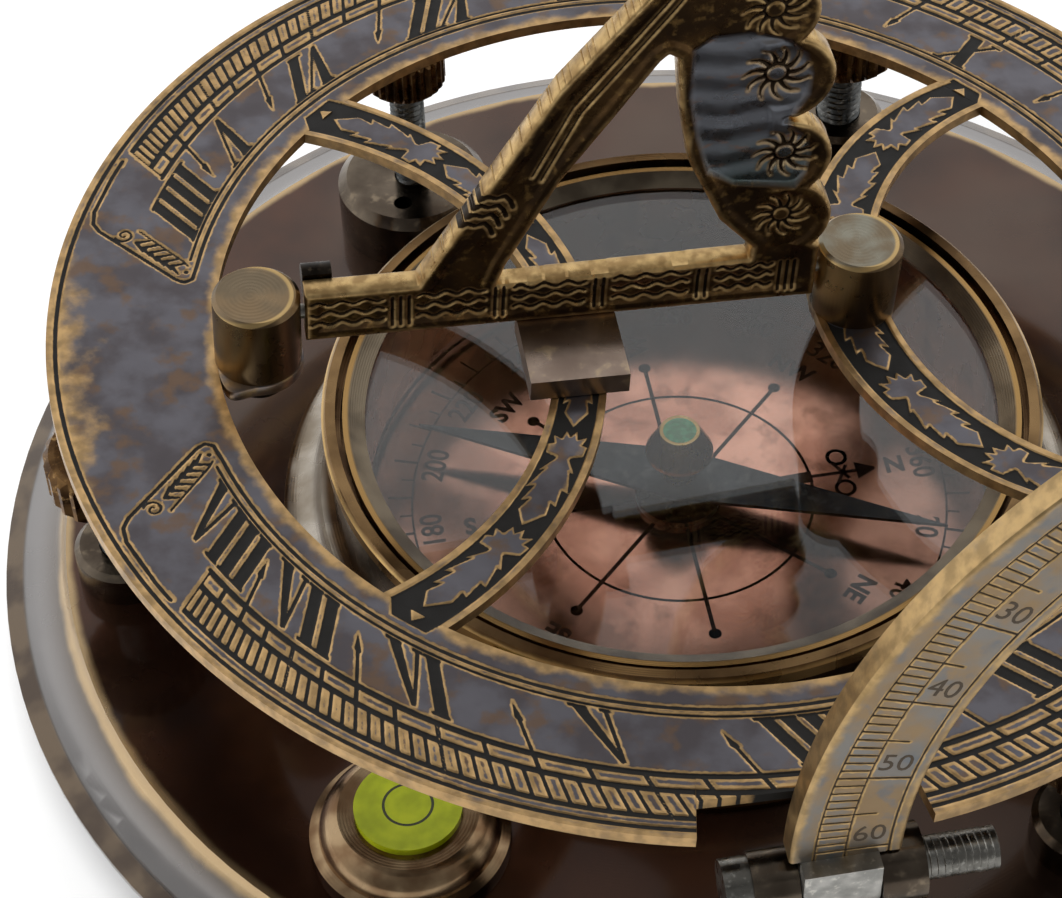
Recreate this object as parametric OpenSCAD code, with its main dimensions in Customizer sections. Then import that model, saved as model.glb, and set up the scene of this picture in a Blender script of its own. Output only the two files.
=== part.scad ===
// Pocket sundial with a compass in its base: a horizontal dial ring on a
// hinge, a folding gnomon, a latitude arc and four knurled screws.
// Millimetres. +Z is up, +X is dial north, +Y is dial west.
// The origin is on the table, below the middle of the base plate.

/* [Base] */
// Diameter of the base plate
base_d = 140; // [139:0.5:142]
// Thickness of the base plate
base_t = 5; // [4.5:0.5:6]
// Gap between the table and the base plate
foot_gap = 4; // [3.5:0.5:6]

/* [Compass] */
// Radius of the printed card
card_r = 32.2; // [30:0.1:32.2]
// Height of the compass case above the plate
case_h = 12.5; // [11.5:0.5:12.5]
// Length of one arm of the needle
needle_arm = 28; // [22:0.5:29]

/* [Hour ring] */
// Outer diameter of the hour ring
ring_d = 123; // [122:0.5:123]
// Inner diameter of the hour ring
ring_in_d = 91; // [90:0.5:92]
// Thickness of the hour ring
ring_t = 1.2; // [1:0.1:1.4]
// Tilt of the ring above level when it is closed
ring_tilt = 3.5; // [3:0.5:8]

/* [Gnomon] */
// Thickness of the gnomon plate
gnomon_t = 2.5; // [2:0.1:3]
// Height of the posts above the ring
post_h = 8; // [7.5:0.5:9]
// Diameter of the posts
post_d = 8.3; // [7.5:0.1:8.3]

/* [Latitude arc] */
// Angle that the arc covers above its foot
arc_span = 66; // [50:1:75]
// Thickness of the arc
arc_t = 2.4; // [1.8:0.2:2.4]

/* [Knurled screws] */
// Diameter of the levelling knobs
lev_knob_d = 12.5; // [10:0.5:13]
// Diameter of the levelling studs
lev_stud_d = 5; // [4:0.5:5]
// Notches around each levelling knob
lev_notches = 24; // [18:2:28]

/* [Hidden] */
$fn = 96;

slip = 0.05;               // running clearance on the radius
joint_gap = 0.1;           // side clearance in a hinge
over = 1;                  // how far a cutter runs past a face

base_r = base_d / 2;
plate_top = foot_gap + base_t;
plate_flat_r = base_r - 6.65;
cove_r = 4.95;
step_z = 2;

// Compass, heights above the plate's underside
recess_r = 32.4;
card_top = 3.3;
card_t = 0.6;
recess_floor = card_top - card_t;
case_in_r = 32;
case_r = 35.5;
case_top = base_t + case_h;
ledge_r = 34.2;
glass_t = 1;
glass_z = case_top - 1.1;
glass_r = 33.9;
bezel_r = 36;
bezel_in_r = 34.6;
bezel_h = 1.7;
foot_r = 40.8;
foot_h = 3.6;
case_screw_r = 34.2;
case_screw_angles = [30, 150, 270];
small_screw_r = 1;
small_head_r = 2;
small_head_h = 1.2;
boss_r = 4.45;
boss_t = 0.8;
pin_r = 0.5;
pin_top = 12.4;
needle_z = 6.4;
needle_t = 0.4;
needle_half_w = 3.4;
needle_turn = -25;
neck_r = 1.7;
cap_z = 10.2;
cap_h = 3.2;
cap_low_r = 3.45;
cap_top_r = 2.05;
cap_bore_r = 0.75;
jewel_t = 0.8;

// Levelling screws
lev_r = 57;
lev_angles = [180, 60, -60];
lev_stud_r = lev_stud_d / 2;
lev_bush_r = 5.1;
lev_bush_h = 4;
lev_spigot_r = 4;
lev_knob_h = 5;
lev_knob_z = foot_gap + 18;
lev_side_hole_r = 0.6;
dish = 0.6;
chamfer = 0.6;

// Rest screw under the ring
rest_x = -21.2;
rest_y = 45.5;
rest_bush_r = 8.3;
rest_bush_h = 6.5;
rest_spigot_r = 5;
rest_stud_r = 1.9;
rest_knob_r = 4.4;
rest_knob_h = 5;
rest_knob_z = foot_gap + 25.1;
rest_notches = 28;
rest_hole_r = 1;
rest_hole_at = 4.8;
rest_hole_turn = -110;

// Ring hinge
hinge_x = 59.5;
hinge_z = foot_gap + 24.3;
ring_rise = 2.6;
hinge_pin_r = 1.2;
knuckle_r = 2.4;
knuckle_w = 12;
ear_r = 2.9;
ear_w = 2.8;
bracket_foot_h = 2;
bracket_foot_x = 53;
leaf_x = 46.5;
leaf_t = 1.2;
rivet_r = 0.9;
rivet_x = 51;
rivet_y = 4;

// Hour ring
ring_r = ring_d / 2;
ring_in_r = ring_in_d / 2;
notch_x0 = -10.9;
notch_x1 = 8.5;
notch_y = 56.7;
slot_in_x = 56.2;
south_post_x = -41.5;
north_post_x = 16.7;
lug_r = 4.3;
lug_w = 9;
post_r = post_d / 2;
post_stub_r = 1.6;
post_nut_r = 2.5;
post_nut_h = 2.2;

// Gnomon, in the ring's own frame
pivot_z = 5.3;
pivot_r = 0.7;
post_gap = 0.35;
bar_x0 = south_post_x + post_r + post_gap;
bar_x1 = north_post_x - post_r - post_gap;
bar_z0 = 2.4;
bar_z1 = 8.3;
pivot_hold = 2.6;
foot_x0 = -16.8;
foot_x1 = -7.3;
foot_y = -9.4;
collar_r = 1.6;
collar_l = 2.8;
collar_y = 2.1;
collar_z = 7.3;
scallops = [[8.0, 12.6, 4.9], [7.4, 20.2, 4.7], [6.5, 30.0, 4.9], [4.6, 37.6, 4.6], [2.6, 44.4, 4.2], [0.2, 50.0, 4]];

// Latitude arc
arc_y = -61;
arc_out_r = 62.6;
arc_in_r = 52.8;
arc_start = 1.6;
arc_mid_r = (arc_out_r + arc_in_r) / 2;
fork_y = arc_y + arc_t / 2;
fork_z = foot_gap + 22;
bolt_r = 1.9;
bolt_head_r = 2.6;
bolt_x0 = -8.6;
bolt_x1 = 15.5;
left_ear = [-6.2, -2.2];
right_ear = [4.8, 8.8];
left_ear_r = 2.9;
right_ear_r = 3.4;
stem_half = 2.7;
fork_foot_h = 2;
hub_top = foot_gap + 26;
slot_z = foot_gap + 24.6;

// Spirit level
level_x = -33.3;
level_y = -37.8;
level_flange_r = 9.5;
level_eye_r = 5.1;
level_top = foot_gap + 10;
level_spigot_r = 2.5;
liquid_r = 4.6;
bubble_r = 1.6;

// Puts children in the ring's frame: origin at its centre, on its top face
module on_ring() {
    translate([hinge_x, 0, hinge_z])
        rotate([0, ring_tilt, 0])
            translate([-hinge_x, 0, ring_rise])
                children();
}

// Stands a flat outline up in the XZ plane, centred on y
module upright(t, y = 0) {
    translate([0, y + t / 2, 0])
        rotate([90, 0, 0])
            linear_extrude(t)
                children();
}

// A round bar along X
module bar_x(x0, x1, r) {
    translate([x0, 0, 0])
        rotate([0, 90, 0])
            cylinder(r = r, h = x1 - x0);
}

// A round bar along Y
module bar_y(y0, y1, r) {
    translate([0, y1, 0])
        rotate([90, 0, 0])
            cylinder(r = r, h = y1 - y0);
}

module at_lev(a) {
    rotate([0, 0, a])
        translate([lev_r, 0, 0])
            children();
}

module at_rest() {
    translate([rest_x, rest_y, 0])
        children();
}

module at_level() {
    translate([level_x, level_y, 0])
        children();
}

// Screw from below: the head is let into the plate's underside
module plate_screw(len) {
    translate([0, 0, foot_gap]) {
        cylinder(r = small_head_r, h = small_head_h);
        cylinder(r = small_screw_r, h = len);
    }
}

module plate_screw_hole() {
    translate([0, 0, foot_gap - over])
        cylinder(r = small_head_r + slip, h = small_head_h + over);
    translate([0, 0, foot_gap])
        cylinder(r = small_screw_r + slip, h = base_t + over);
}

module case_screw_places() {
    for (a = case_screw_angles)
        rotate([0, 0, a])
            translate([case_screw_r, 0, 0])
                children();
}

module bracket_screw_places() {
    for (s = [-1, 1])
        translate([hinge_x, s * (knuckle_w / 2 + ear_w / 2 + joint_gap), 0])
            children();
}

module fork_screw_places() {
    for (e = [left_ear, right_ear])
        translate([(e[0] + e[1]) / 2, fork_y, 0])
            children();
}

module base_plate() {
    color("#4a2c1c")
    difference() {
        translate([0, 0, foot_gap])
            rotate_extrude()
                difference() {
                    polygon([
                        [0, 0], [base_r - 0.6, 0], [base_r, 0.6], [base_r, 1.2],
                        [base_r - 1.8, step_z], [base_r - 2.1, step_z],
                        [plate_flat_r, base_t], [0, base_t]
                    ]);
                    translate([base_r - 2.1, step_z + cove_r])
                        circle(r = cove_r);
                }
        translate([0, 0, foot_gap + recess_floor])
            cylinder(r = recess_r, h = base_t);
        translate([0, 0, foot_gap + 1])
            cylinder(r = pin_r, h = base_t);
        for (a = lev_angles)
            at_lev(a)
                cylinder(r = lev_spigot_r, h = plate_top + over);
        at_rest()
            cylinder(r = rest_spigot_r, h = plate_top + over);
        at_level()
            translate([0, 0, plate_top - 3])
                cylinder(r = level_spigot_r, h = 3 + over);
        case_screw_places() plate_screw_hole();
        bracket_screw_places() plate_screw_hole();
        fork_screw_places() plate_screw_hole();
    }
}

module case_screws() {
    color("#8d8a80") case_screw_places() plate_screw(base_t + 4);
}

module bracket_screws() {
    color("#8d8a80") bracket_screw_places() plate_screw(base_t + 6);
}

module fork_screws() {
    color("#8d8a80") fork_screw_places() plate_screw(base_t + 6);
}

module lev_bush(a) {
    color("#3a3029")
    at_lev(a)
        difference() {
            union() {
                translate([0, 0, foot_gap])
                    cylinder(r = lev_spigot_r, h = base_t);
                translate([0, 0, plate_top])
                    rotate_extrude()
                        polygon([
                            [0, 0], [lev_bush_r, 0], [lev_bush_r, lev_bush_h - chamfer],
                            [lev_bush_r - chamfer, lev_bush_h], [0, lev_bush_h]
                        ]);
            }
            translate([0, 0, foot_gap - over])
                cylinder(r = lev_stud_r + slip, h = base_t + lev_bush_h + 2 * over);
            translate([0, 0, plate_top + lev_bush_h / 2])
                rotate([0, 0, 180])
                    bar_x(lev_stud_r, lev_bush_r + over, lev_side_hole_r);
        }
}

module lev_stud(a) {
    color("#7d7d7a")
    at_lev(a)
        rotate_extrude()
            polygon([
                [0, 0], [lev_stud_r - 1.2, 0], [lev_stud_r, 1.2],
                [lev_stud_r, lev_knob_z + lev_knob_h - 1.5], [0, lev_knob_z + lev_knob_h - 1.5]
            ]);
}

// Knurled head with a dished top and a blind hole for its stud
module knob(r, h, n, bore_r, notch) {
    difference() {
        rotate_extrude()
            polygon([
                [0, 0], [r - chamfer, 0], [r, chamfer], [r, h - chamfer],
                [r - chamfer, h], [r - 2 * chamfer, h], [0, h - dish]
            ]);
        translate([0, 0, -over])
            cylinder(r = bore_r, h = h - 1.4 + over);
        for (i = [0 : n - 1])
            rotate([0, 0, i * 360 / n])
                translate([r, 0, h / 2])
                    rotate([0, 0, 45])
                        cube([notch, notch, h + over], center = true);
    }
}

module lev_knob(a) {
    color("#6f5836")
    translate([0, 0, lev_knob_z])
        at_lev(a)
            knob(lev_knob_d / 2, lev_knob_h, lev_notches, lev_stud_r + slip, 0.9);
}

module rest_bush() {
    color("#5a4d40")
    at_rest()
        difference() {
            union() {
                translate([0, 0, foot_gap])
                    cylinder(r = rest_spigot_r, h = base_t);
                translate([0, 0, plate_top])
                    rotate_extrude()
                        polygon([
                            [0, 0], [rest_bush_r, 0], [rest_bush_r, rest_bush_h - 1],
                            [rest_bush_r - 1, rest_bush_h], [0, rest_bush_h]
                        ]);
            }
            translate([0, 0, foot_gap - over])
                cylinder(r = rest_stud_r + slip, h = base_t + rest_bush_h + 2 * over);
            rotate([0, 0, rest_hole_turn])
                translate([rest_hole_at, 0, plate_top + rest_bush_h - 3])
                    cylinder(r = rest_hole_r, h = 3 + over);
        }
}

module rest_stud() {
    color("#9a9a94")
    at_rest()
        translate([0, 0, foot_gap + 1])
            cylinder(r = rest_stud_r, h = rest_knob_z + rest_knob_h - 1.5 - foot_gap - 1);
}

module rest_knob() {
    color("#6f5836")
    at_rest()
        translate([0, 0, rest_knob_z])
            knob(rest_knob_r, rest_knob_h, rest_notches, rest_stud_r + slip, 0.5);
}

module compass_case() {
    color("#5b4a37")
    difference() {
        translate([0, 0, foot_gap])
            rotate_extrude()
                difference() {
                    polygon([
                        [case_in_r, base_t], [foot_r, base_t], [foot_r, base_t + 0.7],
                        [foot_r - 4, base_t + foot_h], [case_r, base_t + foot_h],
                        [case_r, case_top], [ledge_r, case_top], [ledge_r, glass_z],
                        [case_in_r, glass_z]
                    ]);
                    translate([foot_r - 0.3, base_t + foot_h + 0.9])
                        circle(r = 3.8);
                }
        case_screw_places()
            translate([0, 0, plate_top - over])
                cylinder(r = small_screw_r, h = 5 + over);
    }
}

module compass_bezel() {
    color("#7a6240")
    translate([0, 0, foot_gap + case_top])
        rotate_extrude()
            polygon([
                [bezel_in_r, 0], [bezel_r, 0], [bezel_r, bezel_h - 0.4],
                [bezel_r - 0.4, bezel_h], [bezel_in_r, bezel_h]
            ]);
}

module snap_ring() {
    color("#8d7046")
    translate([0, 0, foot_gap + glass_z + glass_t])
        rotate_extrude()
            polygon([[31.7, 0], [glass_r, 0], [glass_r, 1.3], [33.3, 1.3], [31.7, 0.3]]);
}

module compass_glass() {
    color([0.8, 0.9, 0.9, 0.3])
    translate([0, 0, foot_gap + glass_z])
        cylinder(r = glass_r, h = glass_t);
}

module compass_card() {
    color("#b98468")
    translate([0, 0, foot_gap + recess_floor])
        difference() {
            cylinder(r = card_r, h = card_t);
            translate([0, 0, -over])
                cylinder(r = pin_r, h = card_t + 2 * over);
        }
}

module card_boss() {
    color("#6b5a45")
    translate([0, 0, foot_gap + card_top])
        difference() {
            cylinder(r = boss_r, h = boss_t);
            translate([0, 0, -over])
                cylinder(r = pin_r, h = boss_t + 2 * over);
        }
}

module pivot_pin() {
    color("#a7a7a2")
    translate([0, 0, foot_gap])
        rotate_extrude()
            polygon([[0, 1], [pin_r, 1], [pin_r, pin_top - 1], [0.05, pin_top], [0, pin_top]]);
}

module needle() {
    color("#22262a")
    translate([0, 0, foot_gap + needle_z])
        rotate([0, 0, needle_turn])
            linear_extrude(needle_t)
                difference() {
                    polygon([
                        [needle_arm, 0], [0, needle_half_w],
                        [-needle_arm, 0], [0, -needle_half_w]
                    ]);
                    circle(r = neck_r);
                }
}

module needle_cap() {
    color("#a58a57")
    translate([0, 0, foot_gap])
        rotate_extrude()
            polygon([
                [cap_bore_r, needle_z - 0.4], [neck_r + 0.7, needle_z - 0.4],
                [neck_r + 0.7, needle_z], [neck_r, needle_z], [neck_r, cap_z],
                [cap_low_r, cap_z], [cap_low_r, cap_z + 0.4], [cap_top_r, cap_z + cap_h],
                [neck_r, cap_z + cap_h], [neck_r, cap_z + cap_h - jewel_t],
                [cap_bore_r, cap_z + cap_h - jewel_t]
            ]);
}

module cap_jewel() {
    color("#2f9e66")
    translate([0, 0, foot_gap + cap_z + cap_h - jewel_t])
        cylinder(r = neck_r, h = jewel_t);
}

// One ear of the ring's hinge bracket, from y0 to y1
module hinge_ear(y0, y1) {
    translate([hinge_x, 0, hinge_z])
        bar_y(y0, y1, ear_r);
    translate([hinge_x - ear_r, y0, plate_top])
        cube([2 * ear_r, y1 - y0, hinge_z - plate_top]);
}

module hinge_bracket() {
    ear_in = knuckle_w / 2 + joint_gap;
    ear_out = ear_in + ear_w;
    color("#6a5334")
    difference() {
        union() {
            hinge_ear(ear_in, ear_out);
            hinge_ear(-ear_out, -ear_in);
            translate([bracket_foot_x, -ear_out, plate_top])
                cube([hinge_x + ear_r - bracket_foot_x, 2 * ear_out, bracket_foot_h]);
        }
        translate([hinge_x, 0, hinge_z])
            bar_y(-ear_out - over, ear_out + over, hinge_pin_r);
        bracket_screw_places()
            translate([0, 0, plate_top - over])
                cylinder(r = small_screw_r, h = 6 + over);
    }
}

module hinge_pin() {
    color("#97917f")
    translate([hinge_x, 0, hinge_z])
        bar_y(-knuckle_w / 2 - ear_w - 0.6, knuckle_w / 2 + ear_w + 0.6, hinge_pin_r);
}

// Knuckle with a leaf that is riveted under the ring
module ring_knuckle() {
    leaf_top = -ring_t;
    color("#6a5334")
    on_ring()
        difference() {
            union() {
                intersection() {
                    translate([hinge_x, 0, -ring_rise])
                        bar_y(-knuckle_w / 2, knuckle_w / 2, knuckle_r);
                    translate([0, -ring_r, leaf_top - ring_r])
                        cube([2 * ring_r, 2 * ring_r, ring_r]);
                }
                translate([leaf_x, -knuckle_w / 2, leaf_top - leaf_t])
                    cube([hinge_x - leaf_x, knuckle_w, leaf_t]);
            }
            translate([hinge_x, 0, -ring_rise])
                bar_y(-knuckle_w, knuckle_w, hinge_pin_r + slip);
            for (s = [-1, 1])
                translate([rivet_x, s * rivet_y, leaf_top - leaf_t - over])
                    cylinder(r = rivet_r, h = leaf_t + 2 * over);
        }
}

module ring_rivets() {
    color("#8a6f45")
    on_ring()
        for (s = [-1, 1])
            translate([rivet_x, s * rivet_y, -ring_t - leaf_t])
                cylinder(r = rivet_r, h = ring_t + leaf_t);
}

// Crescent between two circles that are centred on X
module crescent(outer_x, outer_r, inner_x, inner_r) {
    difference() {
        translate([outer_x, 0])
            circle(r = outer_r);
        translate([inner_x, 0])
            circle(r = inner_r);
    }
}

module ring_outline() {
    difference() {
        union() {
            difference() {
                circle(r = ring_r);
                circle(r = ring_in_r);
            }
            intersection() {
                circle(r = ring_in_r + 0.5);
                union() {
                    crescent(-49.7, 41.3, -47, 33.5);
                    crescent(45.7, 33, 48.3, 28.5);
                    translate([south_post_x, 0])
                        circle(r = lug_r);
                    polygon([
                        [-ring_in_r - 0.4, -lug_w], [south_post_x, -lug_r],
                        [south_post_x, lug_r], [-ring_in_r - 0.4, lug_w]
                    ]);
                    translate([north_post_x, 0])
                        circle(r = post_r);
                }
            }
        }
        translate([notch_x0, -ring_r - over])
            square([notch_x1 - notch_x0, ring_r + over - notch_y]);
        for (s = [-1, 1])
            translate([slot_in_x, s * (knuckle_w / 2 + ear_w / 2 + joint_gap) - ear_w / 2 - 0.4])
                square([ring_r, ear_w + 0.8]);
    }
}

module hour_ring() {
    color("#5f5f63")
    on_ring()
        difference() {
            translate([0, 0, -ring_t])
                linear_extrude(ring_t)
                    ring_outline();
            for (x = [south_post_x, north_post_x])
                translate([x, 0, -ring_t - over])
                    cylinder(r = post_stub_r, h = ring_t + 2 * over);
            for (s = [-1, 1])
                translate([rivet_x, s * rivet_y, -ring_t - over])
                    cylinder(r = rivet_r, h = ring_t + 2 * over);
        }
}

// A turned post; side is +1 where the gnomon is on its +X side
module post(x, side) {
    color("#8d7449")
    on_ring()
        translate([x, 0, 0])
            difference() {
                union() {
                    rotate_extrude()
                        polygon([
                            [0, 0], [post_r, 0], [post_r, post_h - 0.4],
                            [post_r - 0.4, post_h], [0, post_h]
                        ]);
                    translate([0, 0, -ring_t - post_nut_h])
                        cylinder(r = post_stub_r, h = ring_t + post_nut_h);
                }
                translate([0, 0, pivot_z])
                    rotate([0, 0, side > 0 ? 0 : 180])
                        bar_x(post_r - pivot_hold, post_r + over, pivot_r);
            }
}

module south_post() {
    post(south_post_x, 1);
}

module north_post() {
    post(north_post_x, -1);
}

module post_nuts() {
    color("#2e2a26")
    on_ring()
        for (x = [south_post_x, north_post_x])
            translate([x, 0, -ring_t - post_nut_h])
                difference() {
                    cylinder(r = post_nut_r, h = post_nut_h);
                    translate([0, 0, -over])
                        cylinder(r = post_stub_r, h = post_nut_h + 2 * over);
                }
}

// Triangular plate with a scalloped back and a triangular opening
module gnomon_outline() {
    difference() {
        union() {
            polygon([
                [bar_x0, bar_z0], [bar_x1, bar_z0], [bar_x1, bar_z1 + 0.6],
                [8, 12], [7.8, 20], [6.6, 30], [4.6, 38], [2.6, 44.4], [0.2, 50],
                [-1.6, 52], [-3.6, 46.4], [-6.4, 40.8], [-13.9, 31], [-19, 21.8],
                [-26.4, bar_z1], [bar_x0, bar_z1]
            ]);
            for (s = scallops)
                translate([s[0], s[1]])
                    circle(r = s[2]);
        }
        polygon([
            [-18.9, 7.4], [-18.2, 9.8], [-13.4, 19.9], [-8.3, 27.9], [-5, 33.2], [-4.2, 34],
            [-3.4, 33.5], [-2.7, 27.5], [-1.4, 20.9], [2.1, 13.3], [5.5, 9.5], [5.4, 7.9]
        ]);
        translate([bar_x1 + 0.6, bar_z0 - over])
            square([10, post_h + over + joint_gap - bar_z0 + over]);
    }
}

module gnomon() {
    color("#7c6436")
    on_ring()
        difference() {
            upright(gnomon_t)
                gnomon_outline();
            translate([0, 0, pivot_z])
                bar_x(bar_x0 - over, bar_x0 + pivot_hold, pivot_r + slip);
            translate([0, 0, pivot_z])
                bar_x(bar_x1 - pivot_hold, bar_x1 + over, pivot_r + slip);
            translate([bar_x1, -gnomon_t, bar_z0 - over])
                cube([10, 2 * gnomon_t, post_h + joint_gap - bar_z0 + over]);
        }
}

module gnomon_foot() {
    color("#a08a55")
    on_ring()
        translate([foot_x0, foot_y, joint_gap])
            cube([foot_x1 - foot_x0, -foot_y, bar_z0 - joint_gap]);
}

module gnomon_collar() {
    color("#2e2a26")
    on_ring()
        difference() {
            translate([0, collar_y, collar_z])
                bar_x(bar_x0, bar_x0 + collar_l, collar_r);
            translate([bar_x0 - over, -gnomon_t, 0])
                cube([collar_l + 2 * over, 1.5 * gnomon_t, 2 * post_h]);
        }
}

module gnomon_pins() {
    color("#97917f")
    on_ring()
        translate([0, 0, pivot_z]) {
            bar_x(south_post_x + post_r - pivot_hold, bar_x0 + pivot_hold - joint_gap, pivot_r);
            bar_x(bar_x1 - pivot_hold + joint_gap, north_post_x - post_r + pivot_hold, pivot_r);
        }
}

// One ear of the fork, drawn in YZ about the bolt and run along X
module fork_ear(e, r) {
    translate([e[0], fork_y, fork_z])
        rotate([0, 90, 0])
            cylinder(r = r, h = e[1] - e[0]);
    translate([e[0], fork_y - stem_half, plate_top])
        cube([e[1] - e[0], 2 * stem_half, fork_z - plate_top]);
}

module arc_fork() {
    color("#4a3d2c")
    difference() {
        union() {
            fork_ear(left_ear, left_ear_r);
            fork_ear(right_ear, right_ear_r);
            translate([left_ear[0], fork_y - stem_half, plate_top])
                cube([right_ear[1] - left_ear[0], 2 * stem_half + 2, fork_foot_h]);
        }
        translate([0, fork_y, fork_z])
            bar_x(bolt_x0, bolt_x1, bolt_r);
        fork_screw_places()
            translate([0, 0, plate_top - over])
                cylinder(r = small_screw_r, h = 6 + over);
    }
}

module arc_bolt() {
    color("#5c503c")
    translate([0, fork_y, fork_z]) {
        bar_x(bolt_x0, left_ear[0], bolt_head_r);
        bar_x(bolt_x0, bolt_x1, bolt_r);
    }
}

module arc_hub() {
    hub_x0 = left_ear[1] + joint_gap;
    hub_x1 = right_ear[0] - joint_gap;
    color("#a9a79f")
    difference() {
        union() {
            translate([0, fork_y, fork_z])
                bar_x(hub_x0, hub_x1, left_ear_r);
            translate([hub_x0, fork_y - left_ear_r, fork_z])
                cube([hub_x1 - hub_x0, 2 * left_ear_r, hub_top - fork_z]);
        }
        translate([hub_x0 - over, arc_y, slot_z])
            cube([hub_x1 - hub_x0 + 2 * over, arc_t, 5]);
        translate([0, fork_y, fork_z])
            bar_x(hub_x0 - over, hub_x1 + over, bolt_r + slip);
    }
}

// Band of the arc about the ring's hinge, with a rounded top end
module arc_outline() {
    reach = 2 * arc_out_r;
    intersection() {
        difference() {
            circle(r = arc_out_r);
            circle(r = arc_in_r);
        }
        polygon([
            [0, 0], [-reach * cos(arc_start), reach * sin(arc_start)],
            [-reach, reach], [-reach * cos(arc_span), reach * sin(arc_span)]
        ]);
    }
    translate([-arc_mid_r * cos(arc_span), arc_mid_r * sin(arc_span)])
        circle(r = (arc_out_r - arc_in_r) / 2);
}

module latitude_arc() {
    tongue_x0 = left_ear[1] + joint_gap;
    tongue_x1 = right_ear[0] - joint_gap;
    color("#8a7552") {
        translate([hinge_x, 0, hinge_z])
            upright(arc_t, fork_y)
                arc_outline();
        translate([tongue_x0, arc_y, slot_z])
            cube([tongue_x1 - tongue_x0, arc_t, hub_top + 1 - slot_z]);
    }
}

module level_housing() {
    color("#a5835c")
    at_level()
        difference() {
            translate([0, 0, plate_top])
                rotate_extrude()
                    difference() {
                        union() {
                            polygon([
                                [0, 0], [level_flange_r, 0], [level_flange_r, 1],
                                [level_flange_r - 1, 1.4], [5.8, 4.6], [0, 4.6]
                            ]);
                            translate([5.3, 1.2])
                                circle(r = 3.3);
                        }
                        translate([0, 4.2])
                            square([20, 5]);
                        translate([0, -10])
                            square([20, 10]);
                    }
            translate([0, 0, plate_top - over])
                cylinder(r = level_eye_r, h = 10);
        }
}

module level_cup() {
    color("#c9c2a0")
    at_level()
        difference() {
            union() {
                translate([0, 0, plate_top])
                    cylinder(r = level_eye_r, h = 4.2);
                translate([0, 0, plate_top - 3])
                    cylinder(r = level_spigot_r, h = 3);
            }
            translate([0, 0, plate_top + 1.5])
                cylinder(r = liquid_r, h = 5);
        }
}

module level_bubble() {
    color([0.95, 1, 0.6, 0.5])
    at_level()
        translate([0, 0, plate_top + 3.6])
            cylinder(r = bubble_r, h = 0.6);
}

module level_liquid() {
    color("#b4bb1c")
    at_level()
        difference() {
            translate([0, 0, plate_top + 1.5])
                cylinder(r = liquid_r, h = 2.7);
            translate([0, 0, plate_top + 3.6])
                cylinder(r = bubble_r, h = 1);
        }
}

module level_lens() {
    color([0.9, 0.95, 0.8, 0.3])
    at_level()
        translate([0, 0, plate_top + 4.2])
            cylinder(r = level_eye_r, h = level_top - plate_top - 4.2);
}

base_plate();
case_screws();
bracket_screws();
fork_screws();
lev_bush(lev_angles[0]);  // lev_bush_south
lev_bush(lev_angles[1]);  // lev_bush_west
lev_bush(lev_angles[2]);  // lev_bush_east
lev_stud(lev_angles[0]);  // lev_stud_south
lev_stud(lev_angles[1]);  // lev_stud_west
lev_stud(lev_angles[2]);  // lev_stud_east
lev_knob(lev_angles[0]);  // lev_knob_south
lev_knob(lev_angles[1]);  // lev_knob_west
lev_knob(lev_angles[2]);  // lev_knob_east
rest_bush();
rest_stud();
rest_knob();
compass_case();
compass_bezel();
snap_ring();
compass_glass();
compass_card();
card_boss();
pivot_pin();
needle();
needle_cap();
cap_jewel();
hinge_bracket();
hinge_pin();
ring_knuckle();
ring_rivets();
hour_ring();
south_post();
north_post();
post_nuts();
gnomon();
gnomon_foot();
gnomon_collar();
gnomon_pins();
arc_fork();
arc_bolt();
arc_hub();
latitude_arc();
level_housing();
level_cup();
level_liquid();
level_bubble();
level_lens();
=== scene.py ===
# %% [markdown]
# # A brass pocket sundial
# The dial is a stack of turned and engraved brass: a round base with a
# compass let into it, a hinged hour ring with a folding gnomon, a latitude
# arc, a bull's-eye level and four knurled screws. The solid model brings
# every solid in its place. This lesson gives each of them its finish and
# models the pieces whose engraving, threads or rounding need more faces.

# %% Open the solid model, with helpers to measure and hide its parts
import math
import bpy
import numpy as np
from mathutils import Matrix, Vector


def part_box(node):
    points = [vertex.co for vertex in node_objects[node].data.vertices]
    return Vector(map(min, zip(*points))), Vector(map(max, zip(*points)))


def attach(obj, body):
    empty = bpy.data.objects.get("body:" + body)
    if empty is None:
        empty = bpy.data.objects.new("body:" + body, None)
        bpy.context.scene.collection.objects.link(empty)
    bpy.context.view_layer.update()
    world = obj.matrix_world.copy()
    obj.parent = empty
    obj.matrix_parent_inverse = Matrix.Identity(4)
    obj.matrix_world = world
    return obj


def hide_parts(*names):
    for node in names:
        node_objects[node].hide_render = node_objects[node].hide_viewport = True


MM = 0.001
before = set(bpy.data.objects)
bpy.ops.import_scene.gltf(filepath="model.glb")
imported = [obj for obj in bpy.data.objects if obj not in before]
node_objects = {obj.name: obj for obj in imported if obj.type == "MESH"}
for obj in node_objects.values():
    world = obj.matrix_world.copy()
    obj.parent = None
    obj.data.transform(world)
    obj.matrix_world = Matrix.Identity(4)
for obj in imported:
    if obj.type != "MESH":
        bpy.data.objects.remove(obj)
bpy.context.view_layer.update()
scene = bpy.context.scene

# %% [markdown]
# The camera is set down by its place and its three directions, so that the
# view is one matrix. A long lens from nearly 0.4 m keeps the circles of the
# instrument from swelling towards the viewer.

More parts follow.
